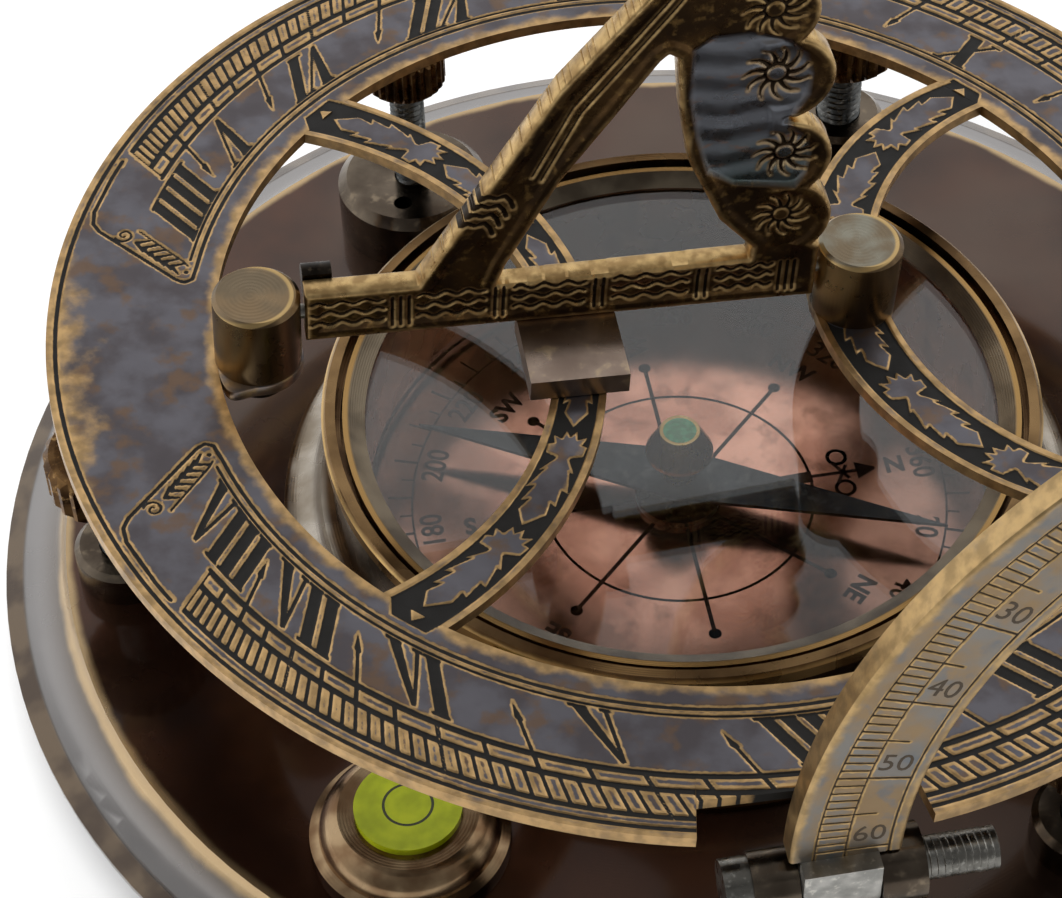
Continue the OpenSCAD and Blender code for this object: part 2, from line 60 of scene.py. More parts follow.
# %% Camera
CAMERA_AT = Vector((-42.70, -195.63, 239.06)) * MM
CAMERA_RIGHT = Vector((0.98600, -0.16503, -0.02380))
CAMERA_UP = Vector((0.13871, 0.73273, 0.66622))
camera = bpy.data.objects.new("camera", bpy.data.cameras.new("camera"))
scene.collection.objects.link(camera)
camera.data.lens = 99.65
camera.data.sensor_width = 36
camera.data.clip_start = 0.01
back = CAMERA_RIGHT.cross(CAMERA_UP)
camera.matrix_world = Matrix.Translation(CAMERA_AT) @ Matrix(
    (CAMERA_RIGHT, CAMERA_UP, back)).transposed().to_4x4()
scene.camera = camera
print("camera looks along", tuple(round(c, 3) for c in -back))

# %% [markdown]
# Modelling by operators acts on whatever is selected, so a few small
# helpers keep that in order. They clear the selection, go in and out of
# edit mode, pick a mesh's open edges, read and write its corners, and give
# a finished piece its name, body and finish.

# %% Helpers for making pieces
def clear_selection():
    for item in bpy.context.selected_objects:
        item.select_set(False)


def in_edit_mode(piece, mode="VERT"):
    clear_selection()
    bpy.context.view_layer.objects.active = piece
    piece.select_set(True)
    bpy.ops.object.mode_set(mode="EDIT")
    bpy.ops.mesh.select_mode(type=mode)


def in_object_mode():
    bpy.ops.object.mode_set(mode="OBJECT")


def select_open_edges():
    bpy.ops.mesh.select_all(action="DESELECT")
    bpy.ops.mesh.select_non_manifold(extend=False, use_wire=False, use_boundary=True,
                                     use_multi_face=False, use_non_contiguous=False,
                                     use_verts=False)


def turn_faces_out():
    bpy.ops.mesh.select_all(action="SELECT")
    bpy.ops.mesh.normals_make_consistent(inside=False)


def settle(piece, name, body, slot, *materials):
    """Names a finished piece and hands it to its body and finish."""
    clear_selection()
    piece.select_set(True)
    bpy.context.view_layer.objects.active = piece
    bpy.ops.object.transform_apply(location=True, rotation=True, scale=True)
    piece.name = name
    piece.data.name = name
    piece.data.materials.clear()
    for material in materials:
        piece.data.materials.append(material)
    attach(piece, body)
    triangles = sum(len(p.vertices) - 2 for p in piece.data.polygons)
    print("made", name, "triangles", triangles)
    return piece


def corners_of(piece):
    flat = np.empty(len(piece.data.vertices) * 3)
    piece.data.vertices.foreach_get("co", flat)
    return flat.reshape(-1, 3)


def move_corners(piece, places):
    piece.data.vertices.foreach_set("co", np.asarray(places, float).ravel())
    piece.data.update()


def smooth(piece, degrees=35):
    clear_selection()
    piece.select_set(True)
    bpy.context.view_layer.objects.active = piece
    bpy.ops.object.shade_smooth_by_angle(angle=math.radians(degrees))


# %% [markdown]
# A finish is a short chain of shader nodes. The helper class below holds
# one material and adds nodes to it one at a time, so each finish further on
# reads as a recipe: where the pattern sits, which colours it mixes, how
# rough it is and how deep its fine relief is.

# %% A helper that builds a finish
class Finish:
    def __init__(self, name):
        self.material = bpy.data.materials.new(name)
        self.material.use_nodes = True
        self.tree = self.material.node_tree
        self.shader = self.tree.nodes["Principled BSDF"]
        self.place = self.add("ShaderNodeTexCoord").outputs["Object"]

    def add(self, kind, **settings):
        node = self.tree.nodes.new(kind)
        for key, value in settings.items():
            setattr(node, key, value)
        return node

    def feed(self, socket, value):
        if isinstance(value, bpy.types.NodeSocket):
            self.tree.links.new(value, socket)
        else:
            socket.default_value = value

    def maths(self, operation, first, second=0.0, clamp=False):
        node = self.add("ShaderNodeMath", operation=operation, use_clamp=clamp)
        for socket, value in zip(node.inputs, (first, second)):
            self.feed(socket, value)
        return node.outputs[0]

    def fade(self, value, start, end, low=0.0, high=1.0):
        node = self.add("ShaderNodeMapRange", interpolation_type="SMOOTHSTEP")
        for socket, given in zip(node.inputs, (value, start, end, low, high)):
            self.feed(socket, given)
        return node.outputs[0]

    def noise(self, size_mm, detail=3.0, stretch=(1, 1, 1)):
        """Noise whose patches are about size_mm across."""
        mapping = self.add("ShaderNodeMapping")
        self.feed(mapping.inputs["Vector"], self.place)
        mapping.inputs["Scale"].default_value = stretch
        node = self.add("ShaderNodeTexNoise")
        self.feed(node.inputs["Vector"], mapping.outputs[0])
        node.inputs["Scale"].default_value = 1 / (size_mm * MM)
        node.inputs["Detail"].default_value = detail
        return node.outputs["Fac"]

    def attribute(self, name):
        return self.add("ShaderNodeAttribute", attribute_name=name).outputs["Fac"]

    def axes(self, middle=(0, 0, 0)):
        """Height and distance from an upright axis through middle, in mm."""
        mapping = self.add("ShaderNodeMapping")
        self.feed(mapping.inputs["Vector"], self.place)
        mapping.inputs["Location"].default_value = [-m for m in middle]
        mapping.inputs["Scale"].default_value = (1000, 1000, 1000)
        split = self.add("ShaderNodeSeparateXYZ")
        self.feed(split.inputs[0], mapping.outputs[0])
        x, y, z = split.outputs
        radius = self.maths("SQRT", self.maths(
            "ADD", self.maths("MULTIPLY", x, x), self.maths("MULTIPLY", y, y)))
        return z, radius

    def mix(self, share, first, second):
        node = self.add("ShaderNodeMix", data_type="RGBA")
        for socket, value in ((node.inputs["Factor"], share),
                              (node.inputs[6], first), (node.inputs[7], second)):
            self.feed(socket, value)
        return node.outputs[2]

    def patches(self, size_mm, first, second, detail=4, start=0.36, end=0.64,
                stretch=(1, 1, 1)):
        """Two colours in soft patches of about size_mm."""
        share = self.fade(self.noise(size_mm, detail, stretch), start, end)
        return self.mix(share, first, second)

    def wander(self, size_mm, low, high, detail=3):
        """A value that drifts between low and high over the surface."""
        return self.fade(self.noise(size_mm, detail), 0.3, 0.7, low, high)

    def relief(self, height, depth_mm, strength=1.0):
        bump = self.add("ShaderNodeBump")
        self.feed(bump.inputs["Height"], height)
        bump.inputs["Distance"].default_value = depth_mm * MM
        bump.inputs["Strength"].default_value = strength
        self.feed(self.shader.inputs["Normal"], bump.outputs[0])

    def done(self, colour, metal=1.0, rough=0.3, coat=0.0, coat_rough=0.05):
        self.feed(self.shader.inputs["Base Color"], colour)
        self.feed(self.shader.inputs["Metallic"], metal)
        self.feed(self.shader.inputs["Roughness"], rough)
        self.shader.inputs["Coat Weight"].default_value = coat
        self.shader.inputs["Coat Roughness"].default_value = coat_rough
        return self.material


def srgb(red, green, blue):
    """A colour as read off a screen, 0 to 255, made linear."""
    return tuple(((c / 255 + 0.055) / 1.055) ** 2.4 if c > 10 else c / 3295
                 for c in (red, green, blue)) + (1.0,)


print("finish helper ready")

# %% [markdown]
# The instrument stands on a white table in a white tent that is open
# towards the viewer. The world gives the tent. A camera ray finds it plain
# white. A ray that was mirrored or went through glass finds it dimmer
# towards the viewer and in the roof, so that polished metal gets its darks,
# and every other ray only takes calm light from it. The floor is pale and
# keeps the shadow.

# %% World, floor and lamps
OPEN_SIDE = (-0.10, -0.92, 0.05)
OPEN_SIDE_LEVEL = 0.22
ROOF_START, ROOF_END = 0.735, 0.805
ROOF_LEVEL = 0.36
FILL_LEVEL = 0.62


def build_world():
    world = bpy.data.worlds.new("white_tent")
    scene.world = world
    world.use_nodes = True
    nodes, links = world.node_tree.nodes, world.node_tree.links
    path = nodes.new("ShaderNodeLightPath").outputs
    direction = nodes.new("ShaderNodeTexCoord").outputs["Generated"]

    def both(operation, first, second):
        node = nodes.new("ShaderNodeMath")
        node.operation = operation
        links.new(first, node.inputs[0])
        links.new(second, node.inputs[1])
        return node.outputs[0]

    def towards(way):
        node = nodes.new("ShaderNodeVectorMath")
        node.operation = "DOT_PRODUCT"
        node.inputs[1].default_value = way
        links.new(direction, node.inputs[0])
        return node.outputs["Value"]

    def ramp(value, start, end, low, high):
        node = nodes.new("ShaderNodeMapRange")
        node.interpolation_type = "SMOOTHSTEP"
        links.new(value, node.inputs["Value"])
        for socket, given in zip(list(node.inputs)[1:5], (start, end, low, high)):
            socket.default_value = given
        return node.outputs[0]

    sharp = both("MAXIMUM", path["Is Glossy Ray"], path["Is Transmission Ray"])
    side = ramp(towards(OPEN_SIDE), -0.05, 0.75, 1.0, OPEN_SIDE_LEVEL)
    roof = ramp(towards((0, 0, 1)), ROOF_START, ROOF_END, 1.0, ROOF_LEVEL)
    tent = nodes.new("ShaderNodeMix")
    tent.data_type = "FLOAT"
    links.new(sharp, tent.inputs["Factor"])
    links.new(side, tent.inputs["A"])
    links.new(both("MULTIPLY", side, roof), tent.inputs["B"])
    level = both("MULTIPLY", tent.outputs["Result"], ramp(sharp, 0, 1, FILL_LEVEL, 1.0))
    background = nodes["Background"]
    background.inputs["Color"].default_value = (1, 1, 1, 1)
    links.new(both("MAXIMUM", path["Is Camera Ray"], level), background.inputs["Strength"])


def build_floor():
    clear_selection()
    bpy.ops.mesh.primitive_plane_add(size=6)
    floor = bpy.context.object
    floor.name = "floor"
    paper = Finish("white_table")
    colour = paper.mix(paper.noise(4, 4), (0.82, 0.82, 0.82, 1), (0.86, 0.86, 0.86, 1))
    paper.done(colour, metal=0.0, rough=0.9)
    light_path = paper.add("ShaderNodeLightPath")
    glow = paper.fade(light_path.outputs["Is Camera Ray"], 0, 1, 0.0, 0.16)
    paper.shader.inputs["Emission Color"].default_value = (1, 1, 1, 1)
    paper.feed(paper.shader.inputs["Emission Strength"], glow)
    floor.data.materials.append(paper.material)


def softbox(name, place_mm, size_mm, watts):
    """A soft lamp that lights the piece but is not mirrored in it."""
    lamp = bpy.data.lights.new(name, "AREA")
    lamp.shape = "RECTANGLE"
    lamp.size, lamp.size_y = size_mm[0] * MM, size_mm[1] * MM
    lamp.energy = watts
    item = bpy.data.objects.new(name, lamp)
    scene.collection.objects.link(item)
    at = Vector(place_mm) * MM
    item.location = at
    item.rotation_euler = at.to_track_quat("Z", "Y").to_euler()
    item.visible_glossy = False
    item.visible_transmission = False


build_world()
build_floor()
softbox("tent_top", (-150, 350, 900), (700, 500), 5.0)
softbox("tent_left", (-800, 150, 420), (500, 500), 5.0)
scene.view_settings.view_transform = "Standard"

# %% [markdown]
# Brass of this age is seldom one colour. The edges are rubbed to gold, the
# broad faces carry stains, and the hollow cove of the base is painted
# silver-gray low down and brown-gray higher up, a painted highlight. Each
# turned part therefore blends two or three browns by noise, and the bright
# edges are placed by the distance from the part's own axis, which is how a
# turner would point them out.

# %% Finish of the base plate
RIM_BEAD_MM = (62.3, 63.2, 63.8, 64.6)
COVE_FROM_MM, COVE_TO_MM = 63.4, 64.2
COVE_HIGHLIGHT_LOW_MM, COVE_HIGHLIGHT_HIGH_MM = 5.2, 8.0
OUTER_EDGE_MM = (67.9, 68.3)


def turned_lines(finish, radius, pitch_mm, share=0.5):
    """Fine concentric tool marks around an axis."""
    wave = finish.maths("SINE", finish.maths("MULTIPLY", radius, 6.283 / pitch_mm))
    rough = finish.noise(1.5, 2)
    return finish.maths("ADD", finish.maths("MULTIPLY", wave, share), rough)


def base_finish():
    f = Finish("base_bronze_polished")
    z, radius = f.axes()
    brown = f.patches(14, srgb(78, 48, 32), srgb(58, 38, 28), 5, 0.38, 0.66)
    brown = f.patches(40, brown, srgb(84, 66, 54), 3, 0.44, 0.66)
    drift = f.maths("MULTIPLY", f.noise(6, 4), 1.2)
    rub = f.maths("ADD", radius, f.maths("SUBTRACT", drift, 0.6))
    inner_start, inner_end, outer_end, outer_start = RIM_BEAD_MM
    bead = f.maths("MULTIPLY", f.fade(rub, inner_start, inner_end),
                   f.fade(rub, outer_start, outer_end))
    # Painted highlight: the cove is painted silver-gray low down and brown-gray higher up.
    cove_highlight = f.mix(f.fade(z, COVE_HIGHLIGHT_LOW_MM, COVE_HIGHLIGHT_HIGH_MM), srgb(158, 156, 156),
                 srgb(104, 94, 84))
    edge = f.patches(5, srgb(104, 88, 70), srgb(74, 60, 48), 3, 0.4, 0.6)
    colour = f.mix(f.fade(radius, COVE_FROM_MM, COVE_TO_MM), brown, cove_highlight)
    colour = f.mix(f.fade(radius, *OUTER_EDGE_MM), colour, edge)
    colour = f.mix(f.maths("MULTIPLY", bead, 0.85), colour, srgb(206, 176, 130))
    f.relief(turned_lines(f, radius, 0.35, 0.25), 0.004, 0.5)
    return f.done(colour, 0.9, f.wander(9, 0.16, 0.30, 5), coat=0.7, coat_rough=0.08)


def paint(material, *nodes):
    for name in nodes:
        slots = node_objects[name].data.materials
        if not len(slots):
            slots.append(material)
        for index in range(len(slots)):
            slots[index] = material
    print(material.name, "on", ", ".join(nodes))


paint(base_finish(), "base_plate")

# %% [markdown]
# The compass case, its bezel and its snap ring are turned from one bar. The
# foot is a hollow moulding painted silvery pale as a painted highlight, the
# bezel's upper edge is rubbed to gold and the groove between bezel and snap
# ring is black with old polish.

# %% Finish of the compass case and its rings
CASE_FOOT_HIGHLIGHT_MM = (35.9, 37.0)
CASE_LIP_MM = (40.2, 40.6)
BEZEL_EDGE_MM = (35.9, 36.2)
SNAP_EDGE_MM = (33.2, 33.5)


def aged_brass(name, dark, mid, bright, rough=(0.22, 0.4), lines=0.0, patch_mm=5.0):
    """Two dark tones in patches with small bright ones, and turned lines if asked."""
    f = Finish(name)
    z, radius = f.axes()
    body = f.patches(patch_mm, dark, mid)
    colour = f.patches(patch_mm * 0.25, body, bright, 3, 0.55, 0.75)
    if lines:
        f.relief(turned_lines(f, radius, lines, 0.6), 0.01, 0.6)
    else:
        f.relief(f.noise(0.6, 4), 0.02, 0.4)
    return f.done(colour, 1.0, f.wander(patch_mm * 0.6, *rough))


def case_finish():
    f = Finish("compass_case_brass")
    z, radius = f.axes()
    body = f.patches(6, srgb(70, 52, 38), srgb(112, 88, 62))
    # Painted highlight: the hollow foot of the case is painted silvery pale.
    foot = f.patches(8, srgb(190, 182, 170), srgb(140, 128, 112))
    colour = f.mix(f.fade(radius, *CASE_FOOT_HIGHLIGHT_MM), body, foot)
    colour = f.mix(f.fade(radius, *CASE_LIP_MM), colour, srgb(92, 70, 50))
    f.relief(turned_lines(f, radius, 0.3, 0.4), 0.008, 0.5)
    return f.done(colour, 1.0, f.wander(5, 0.2, 0.34))


def bezel_finish():
    f = Finish("compass_bezel_brass")
    z, radius = f.axes()
    body = f.patches(7, srgb(104, 80, 54), srgb(150, 120, 82), 4, 0.34, 0.66)
    rubbed = f.maths("ADD", radius, f.maths("MULTIPLY", f.noise(4, 3), 0.5))
    colour = f.mix(f.fade(rubbed, *BEZEL_EDGE_MM), body, srgb(205, 170, 112))
    f.relief(turned_lines(f, radius, 0.25, 0.5), 0.006, 0.5)
    return f.done(colour, 1.0, f.wander(5, 0.2, 0.36))


def snap_finish():
    f = Finish("compass_snap_ring")
    z, radius = f.axes()
    slope = f.patches(6, srgb(84, 74, 62), srgb(128, 116, 98))
    colour = f.mix(f.fade(radius, *SNAP_EDGE_MM), slope, srgb(176, 140, 88))
    f.relief(turned_lines(f, radius, 0.22, 0.6), 0.006, 0.5)
    return f.done(colour, 1.0, 0.26)


paint(case_finish(), "compass_case")
paint(bezel_finish(), "compass_bezel")
paint(snap_finish(), "snap_ring")

# %% [markdown]
# Glass is clear and thin here, so it is a transmitting shader with the
# refractive index of window glass. Its mirror of the white tent lays a gray
# veil over the card, broken where the dark ring and gnomon are mirrored.

# %% Finish of the glass
def glass_finish():
    f = Finish("clear_window_glass")
    dust = f.fade(f.noise(1.2, 3), 0.72, 0.8, 0.0, 0.06)
    f.shader.inputs["Transmission Weight"].default_value = 1.0
    f.shader.inputs["IOR"].default_value = 1.5
    return f.done(f.mix(dust, (0.97, 0.98, 0.97, 1), (0.8, 0.8, 0.78, 1)), 0.0, 0.0)


paint(glass_finish(), "compass_glass")

# %% [markdown]
# The card is a copper-coloured disc. Its brushed face has cloudy brown
# patches and is painted darker and duller towards the rim, a painted shade.
# The needle over it is blued steel under a turned brass cap with a green stone.

# %% Finish of the card, the needle and the cap
CARD_RIM_SHADE_MM = (20, 26)


def card_finish():
    f = Finish("card_copper_plate")
    z, radius = f.axes()
    pink = f.patches(7, srgb(222, 166, 144), srgb(184, 130, 110), 5, 0.36, 0.62)
    patch = f.fade(f.noise(3.2, 5), 0.52, 0.72)
    colour = f.mix(f.maths("MULTIPLY", patch, 0.6), pink, srgb(128, 86, 70))
    # Painted shade: the copper is painted darker and duller towards the rim.
    reach = f.maths("ADD", radius, f.maths("MULTIPLY", f.noise(9, 4), 9))
    colour = f.mix(f.fade(reach, *CARD_RIM_SHADE_MM, 0.0, 0.6), colour, srgb(122, 94, 82))
    f.relief(f.noise(0.5, 3, stretch=(1, 8, 1)), 0.006, 0.5)
    return f.done(colour, 1.0, f.wander(4, 0.12, 0.22))


paint(card_finish(), "compass_card")
paint(aged_brass("boss_brass", srgb(74, 60, 48), srgb(104, 88, 70), srgb(140, 120, 92)),
      "card_boss")
paint(aged_brass("needle_blued_steel", srgb(38, 42, 46), srgb(52, 56, 60),
                 srgb(70, 72, 74), rough=(0.3, 0.45)), "needle")
paint(aged_brass("cap_turned_brass", srgb(150, 124, 76), srgb(178, 152, 100),
                 srgb(206, 182, 130), lines=0.5, rough=(0.22, 0.3)), "needle_cap")


def jewel_finish():
    f = Finish("green_jewel")
    stone = f.patches(0.7, srgb(34, 164, 96), srgb(60, 196, 124), 4, 0.4, 0.65)
    return f.done(stone, 0.0, 0.22, coat=0.6)


paint(jewel_finish(), "cap_jewel")

# %% [markdown]
# Screws, bushes and hinges are plain engineering parts: oily steel,
# blackened bronze and rubbed knurls. One aged-metal recipe serves them all
# with other colours and other grain.

# %% Finish of the screws, bushes and hinge parts
paint(aged_brass("plain_steel", srgb(120, 118, 112), srgb(150, 148, 142),
                 srgb(180, 178, 170), patch_mm=2), "case_screws", "bracket_screws",
      "fork_screws", "pivot_pin", "hinge_pin", "gnomon_pins", "arc_bolt")
paint(aged_brass("dark_bronze_turned", srgb(84, 74, 64), srgb(112, 101, 88),
                 srgb(134, 120, 102), rough=(0.16, 0.28)), "lev_bush_south",
      "lev_bush_west", "lev_bush_east", "rest_bush", "hinge_bracket", "ring_knuckle",
      "arc_fork")
paint(aged_brass("knob_knurled_bronze", srgb(76, 54, 34), srgb(122, 92, 58),
                 srgb(176, 140, 92), patch_mm=2.5, rough=(0.24, 0.4)),
      "lev_knob_south", "lev_knob_west", "lev_knob_east", "rest_knob")
paint(aged_brass("stud_thread_steel", srgb(70, 72, 72), srgb(104, 104, 102),
                 srgb(140, 140, 136), patch_mm=2), "lev_stud_south",
      "lev_stud_west", "lev_stud_east", "rest_stud")
paint(aged_brass("blackened_steel", srgb(30, 26, 22), srgb(48, 42, 36),
                 srgb(80, 70, 58), patch_mm=2), "post_nuts", "gnomon_collar")
paint(aged_brass("hub_worn_nickel", srgb(164, 163, 158), srgb(204, 202, 196),
                 srgb(228, 225, 216), patch_mm=2.4, rough=(0.3, 0.5)), "arc_hub")

# %% [markdown]
# A turned post has rings of tool marks on its top. They are concentric
# about the post's own axis, so each post gets its own copy of the finish
# with the axis moved to it.

# %% Finish of the two posts
SOUTH_POST_MM = (-41.2, 0, 0)
NORTH_POST_MM = (17.0, 0, 0)


POST_CHAMFER_MM = (3.55, 3.8)
POST_SIDE_MM = (4.0, 4.12)


def post_finish(name, middle, bright):
    f = Finish(name)
    z, radius = f.axes(middle)
    side = f.patches(3, srgb(84, 68, 50), srgb(128, 106, 76), 4, 0.36, 0.66, (1, 1, 0.2))
    top = f.patches(3.5, bright, srgb(122, 108, 88))
    colour = f.mix(f.fade(radius, *POST_CHAMFER_MM), top, srgb(196, 166, 114))
    colour = f.mix(f.fade(radius, *POST_SIDE_MM), colour, side)
    f.relief(turned_lines(f, radius, 0.42, 0.35), 0.012, 0.6)
    return f.done(colour, 1.0, f.wander(3, 0.24, 0.38))


paint(post_finish("south_post_brass", SOUTH_POST_MM, srgb(140, 119, 92)), "south_post")
paint(post_finish("north_post_brass", NORTH_POST_MM, srgb(140, 136, 122)), "north_post")

# %% [markdown]
# The bull's-eye level is a polished brass dome around a vial of yellow-green
# spirit. The spirit glows by the light that gets into it, so it is a
# saturated plastic with a faint clear coat and faint turned rings.

# %% Finish of the spirit level
LEVEL_MM = (-33.3, -37.8, 0)
LEVEL_SHADE_MM = (10.5, 9.3)


def level_finish():
    f = Finish("level_dome_brass")
    z, radius = f.axes(LEVEL_MM)
    body = f.patches(5, srgb(120, 92, 66), srgb(176, 150, 116))
    low = f.maths("MULTIPLY", f.fade(z, *LEVEL_SHADE_MM), 0.7)
    f.relief(turned_lines(f, radius, 0.3, 0.3), 0.006, 0.5)
    return f.done(f.mix(low, body, srgb(74, 54, 38)), 1.0, f.wander(4, 0.16, 0.28))


def spirit_finish(name, deep, pale, rough=0.12):
    f = Finish(name)
    z, radius = f.axes(LEVEL_MM)
    ring = f.maths("MULTIPLY", f.maths("SINE", f.maths("MULTIPLY", radius, 5.2)), 0.12)
    share = f.maths("ADD", f.fade(f.noise(2.4, 3), 0.3, 0.7), ring, clamp=True)
    return f.done(f.mix(share, deep, pale), 0.0, rough, coat=0.25)


paint(level_finish(), "level_housing")
paint(spirit_finish("level_white_cup", srgb(170, 165, 140), srgb(205, 200, 180)), "level_cup")
paint(spirit_finish("level_spirit", srgb(158, 168, 14), srgb(186, 194, 22)), "level_liquid")
paint(spirit_finish("level_bubble_air", srgb(186, 196, 60), srgb(206, 214, 90)),
      "level_bubble")
paint(spirit_finish("level_lens_over_spirit", srgb(150, 162, 10), srgb(178, 188, 20), 0.06),
      "level_lens")

# %% [markdown]
# Etched brass is the heart of this dial: the figures are sunk and black,
# every edge beside a sunk line is rubbed to gold, and the broad faces keep
# a slate-blue patina. All three follow from one number at each point of the
# sheet, its distance to the nearest cut. So the drawing is made as cuts and
# raised islands, each of which only updates that distance, and the sheet
# carries it as an attribute called cut_mm. The finish reads it for colour,
# and the mesh is pressed down where it is below nothing.

# %% A drawing as a distance
def outline_distance(x, y, outline):
    """Distance in mm to a closed outline, below 0 inside it."""
    nearest = np.full(len(x), 1e9)
    within = np.zeros(len(x), bool)
    for (ax, ay), (bx, by) in zip(outline, np.roll(outline, -1, axis=0)):
        ex, ey = bx - ax, by - ay
        wx, wy = x - ax, y - ay
        t = np.clip((wx * ex + wy * ey) / max(ex * ex + ey * ey, 1e-12), 0, 1)
        nearest = np.minimum(nearest, (wx - t * ex) ** 2 + (wy - t * ey) ** 2)
        if abs(ey) > 1e-12:
            within ^= ((ay > y) != (by > y)) & (x < ex * (y - ay) / ey + ax)
    return np.sqrt(nearest) * np.where(within, -1, 1)


class Drawing:
    """Keeps the signed distance to the nearest cut at each corner of a sheet."""
    MARGIN = 0.7
    CLEAR = 9.0

    def __init__(self, x, y):
        self.x, self.y = x, y
        self.cut_mm = np.full(len(x), self.CLEAR)

    def near(self, points):
        low, high = points.min(0) - self.MARGIN, points.max(0) + self.MARGIN
        return np.nonzero((self.x > low[0]) & (self.x < high[0])
                          & (self.y > low[1]) & (self.y < high[1]))[0]

    def sink(self, at, distance):
        self.cut_mm[at] = np.minimum(self.cut_mm[at], distance)

    def stand(self, at, distance):
        self.cut_mm[at] = np.maximum(self.cut_mm[at], -distance)

    def area(self, outline, raised=False):
        outline = np.asarray(outline, float)
        at = self.near(outline)
        if len(at):
            distance = outline_distance(self.x[at], self.y[at], outline)
            (self.stand if raised else self.sink)(at, distance)

    def line(self, points, width, end_width=None):
        points = np.asarray(points, float)
        end_width = width if end_width is None else end_width
        widths = np.linspace(width, end_width, len(points))
        for a, b, wa, wb in zip(points, points[1:], widths, widths[1:]):
            at = self.near(np.array([a, b]))
            if not len(at):
                continue
            e = b - a
            wx, wy = self.x[at] - a[0], self.y[at] - a[1]
            t = np.clip((wx * e[0] + wy * e[1]) / max(e @ e, 1e-12), 0, 1)
            half = (wa + (wb - wa) * t) / 2
            self.sink(at, np.hypot(wx - t * e[0], wy - t * e[1]) - half)

    def dot(self, point, radius):
        self.line([point, point], 2 * radius)


CUT_DEPTH_MM = 0.14
CUT_SLOPE_MM = 0.06


def pressed(cut_mm, depth=CUT_DEPTH_MM):
    """Height of the face over a cut, with a short sloping wall."""
    t = np.clip((CUT_SLOPE_MM - cut_mm) / (2 * CUT_SLOPE_MM), 0, 1)
    return -depth * t * t * (3 - 2 * t)


print("drawing helper ready")

# %% [markdown]
# A sheet starts as a grid primitive. Its corners are laid out as the ring
# or strip needs, the drawing is made on them, the open edges are extruded
# down by the sheet's thickness and the underside is closed. Three finishes
# go on: etched face, rubbed edge and plain underside.

# %% Making an engraved sheet
def grid_sheet(columns, rows):
    clear_selection()
    bpy.ops.mesh.primitive_grid_add(x_subdivisions=columns,
                                    y_subdivisions=rows, size=2)
    return bpy.context.object


def close_below(piece, thickness, closed_loop):
    """Extrudes the open edges down and closes the underside."""
    in_edit_mode(piece, "EDGE")
    bpy.ops.mesh.select_all(action="SELECT")
    bpy.ops.mesh.remove_doubles(threshold=0.002 * MM)
    select_open_edges()
    bpy.ops.mesh.extrude_edges_move(
        TRANSFORM_OT_translate={"value": (0, 0, -thickness * MM)})
    bpy.ops.transform.resize(value=(1, 1, 0), center_override=(0, 0, -thickness * MM))
    if closed_loop:
        bpy.ops.mesh.bridge_edge_loops()
    else:
        bpy.ops.mesh.edge_face_add()
    turn_faces_out()
    in_object_mode()


FACE_SLOT, EDGE_SLOT, BELOW_SLOT = 0, 1, 2


def sort_finishes(piece):
    """Gives each face its finish by the way it looks, before it is placed."""
    count = len(piece.data.polygons)
    normals = np.empty(count * 3)
    piece.data.polygons.foreach_get("normal", normals)
    up = normals.reshape(-1, 3)[:, 2]
    index = np.where(up < -0.7, BELOW_SLOT, np.where(up < 0.05, EDGE_SLOT, FACE_SLOT))
    piece.data.polygons.foreach_set("material_index", index.astype(np.int32))


def store(piece, name, values):
    layer = piece.data.attributes.new(name, "FLOAT", "POINT")
    layer.data.foreach_set("value", np.asarray(values, np.float32))


RING_TILT = math.radians(3.5)
RING_RISE_MM = 2.6
HINGE_MM = (59.5, 0.0, 28.3)


def ring_place():
    """From the ring's own frame in metres to its place on the dial."""
    return (Matrix.Translation(Vector(HINGE_MM) * MM)
            @ Matrix.Rotation(RING_TILT, 4, "Y")
            @ Matrix.Translation(Vector((-HINGE_MM[0], 0, RING_RISE_MM)) * MM))


print("sheet helpers ready")

# %% [markdown]
# The etched finish is used on the ring, its crescents and the latitude arc.
# Black in the cuts, a gold rim about a fifth of a millimetre wide beside
# them, slate patina with brown clouds beyond, and gold again where the
# sheet's own edge is handled. Two more attributes steer it: edge_mm is the
# distance to that edge, and worn_mm widens the gold rims where the small
# cells of the time scale are rubbed most.

# %% Finish of etched brass
def etched_finish(name, slate, brown_slate, cloud, gold, ink, rub_mm=1.0, rim_mm=0.26):
    f = Finish(name)
    cut, edge, worn = (f.attribute(key) for key in ("cut_mm", "edge_mm", "worn_mm"))
    wobble = f.maths("MULTIPLY", f.maths("SUBTRACT", f.noise(0.7, 2), 0.5), 0.35)
    patch = f.maths("MULTIPLY", f.maths("SUBTRACT", f.noise(2.4, 5), 0.5), 2.6 * rub_mm)
    patina = f.patches(5.5, slate, brown_slate, 4, 0.38, 0.62)
    clouded = f.maths("MULTIPLY", f.fade(f.noise(3.0, 5), 0.52, 0.68), 0.75)
    patina = f.mix(clouded, patina, cloud)
    shaded_gold = tuple(0.62 * c for c in gold[:3]) + (1,)
    gold_tone = f.patches(1.6, gold, shaded_gold, 4, 0.35, 0.65)
    rubbed = f.fade(f.maths("ADD", edge, patch), 1.3 * rub_mm, 0.15)
    colour = f.mix(f.maths("MULTIPLY", rubbed, 0.92), patina, gold_tone)
    beside = f.maths("ADD", cut, f.maths("SUBTRACT", wobble, worn))
    rim = f.fade(beside, 1.25 * rim_mm, 0.55 * rim_mm)
    colour = f.mix(f.maths("MULTIPLY", rim, 0.95), colour, gold_tone)
    sunk = f.fade(f.maths("ADD", cut, f.maths("MULTIPLY", wobble, 0.25)), 0.04, -0.04)
    f.relief(f.noise(0.45, 4), 0.012, 0.5)
    roughness = f.maths("ADD", f.wander(2.0, 0.30, 0.42), f.maths("MULTIPLY", sunk, 0.25))
    return f.done(f.mix(sunk, colour, ink), f.fade(sunk, 0, 1, 0.95, 0.35), roughness)


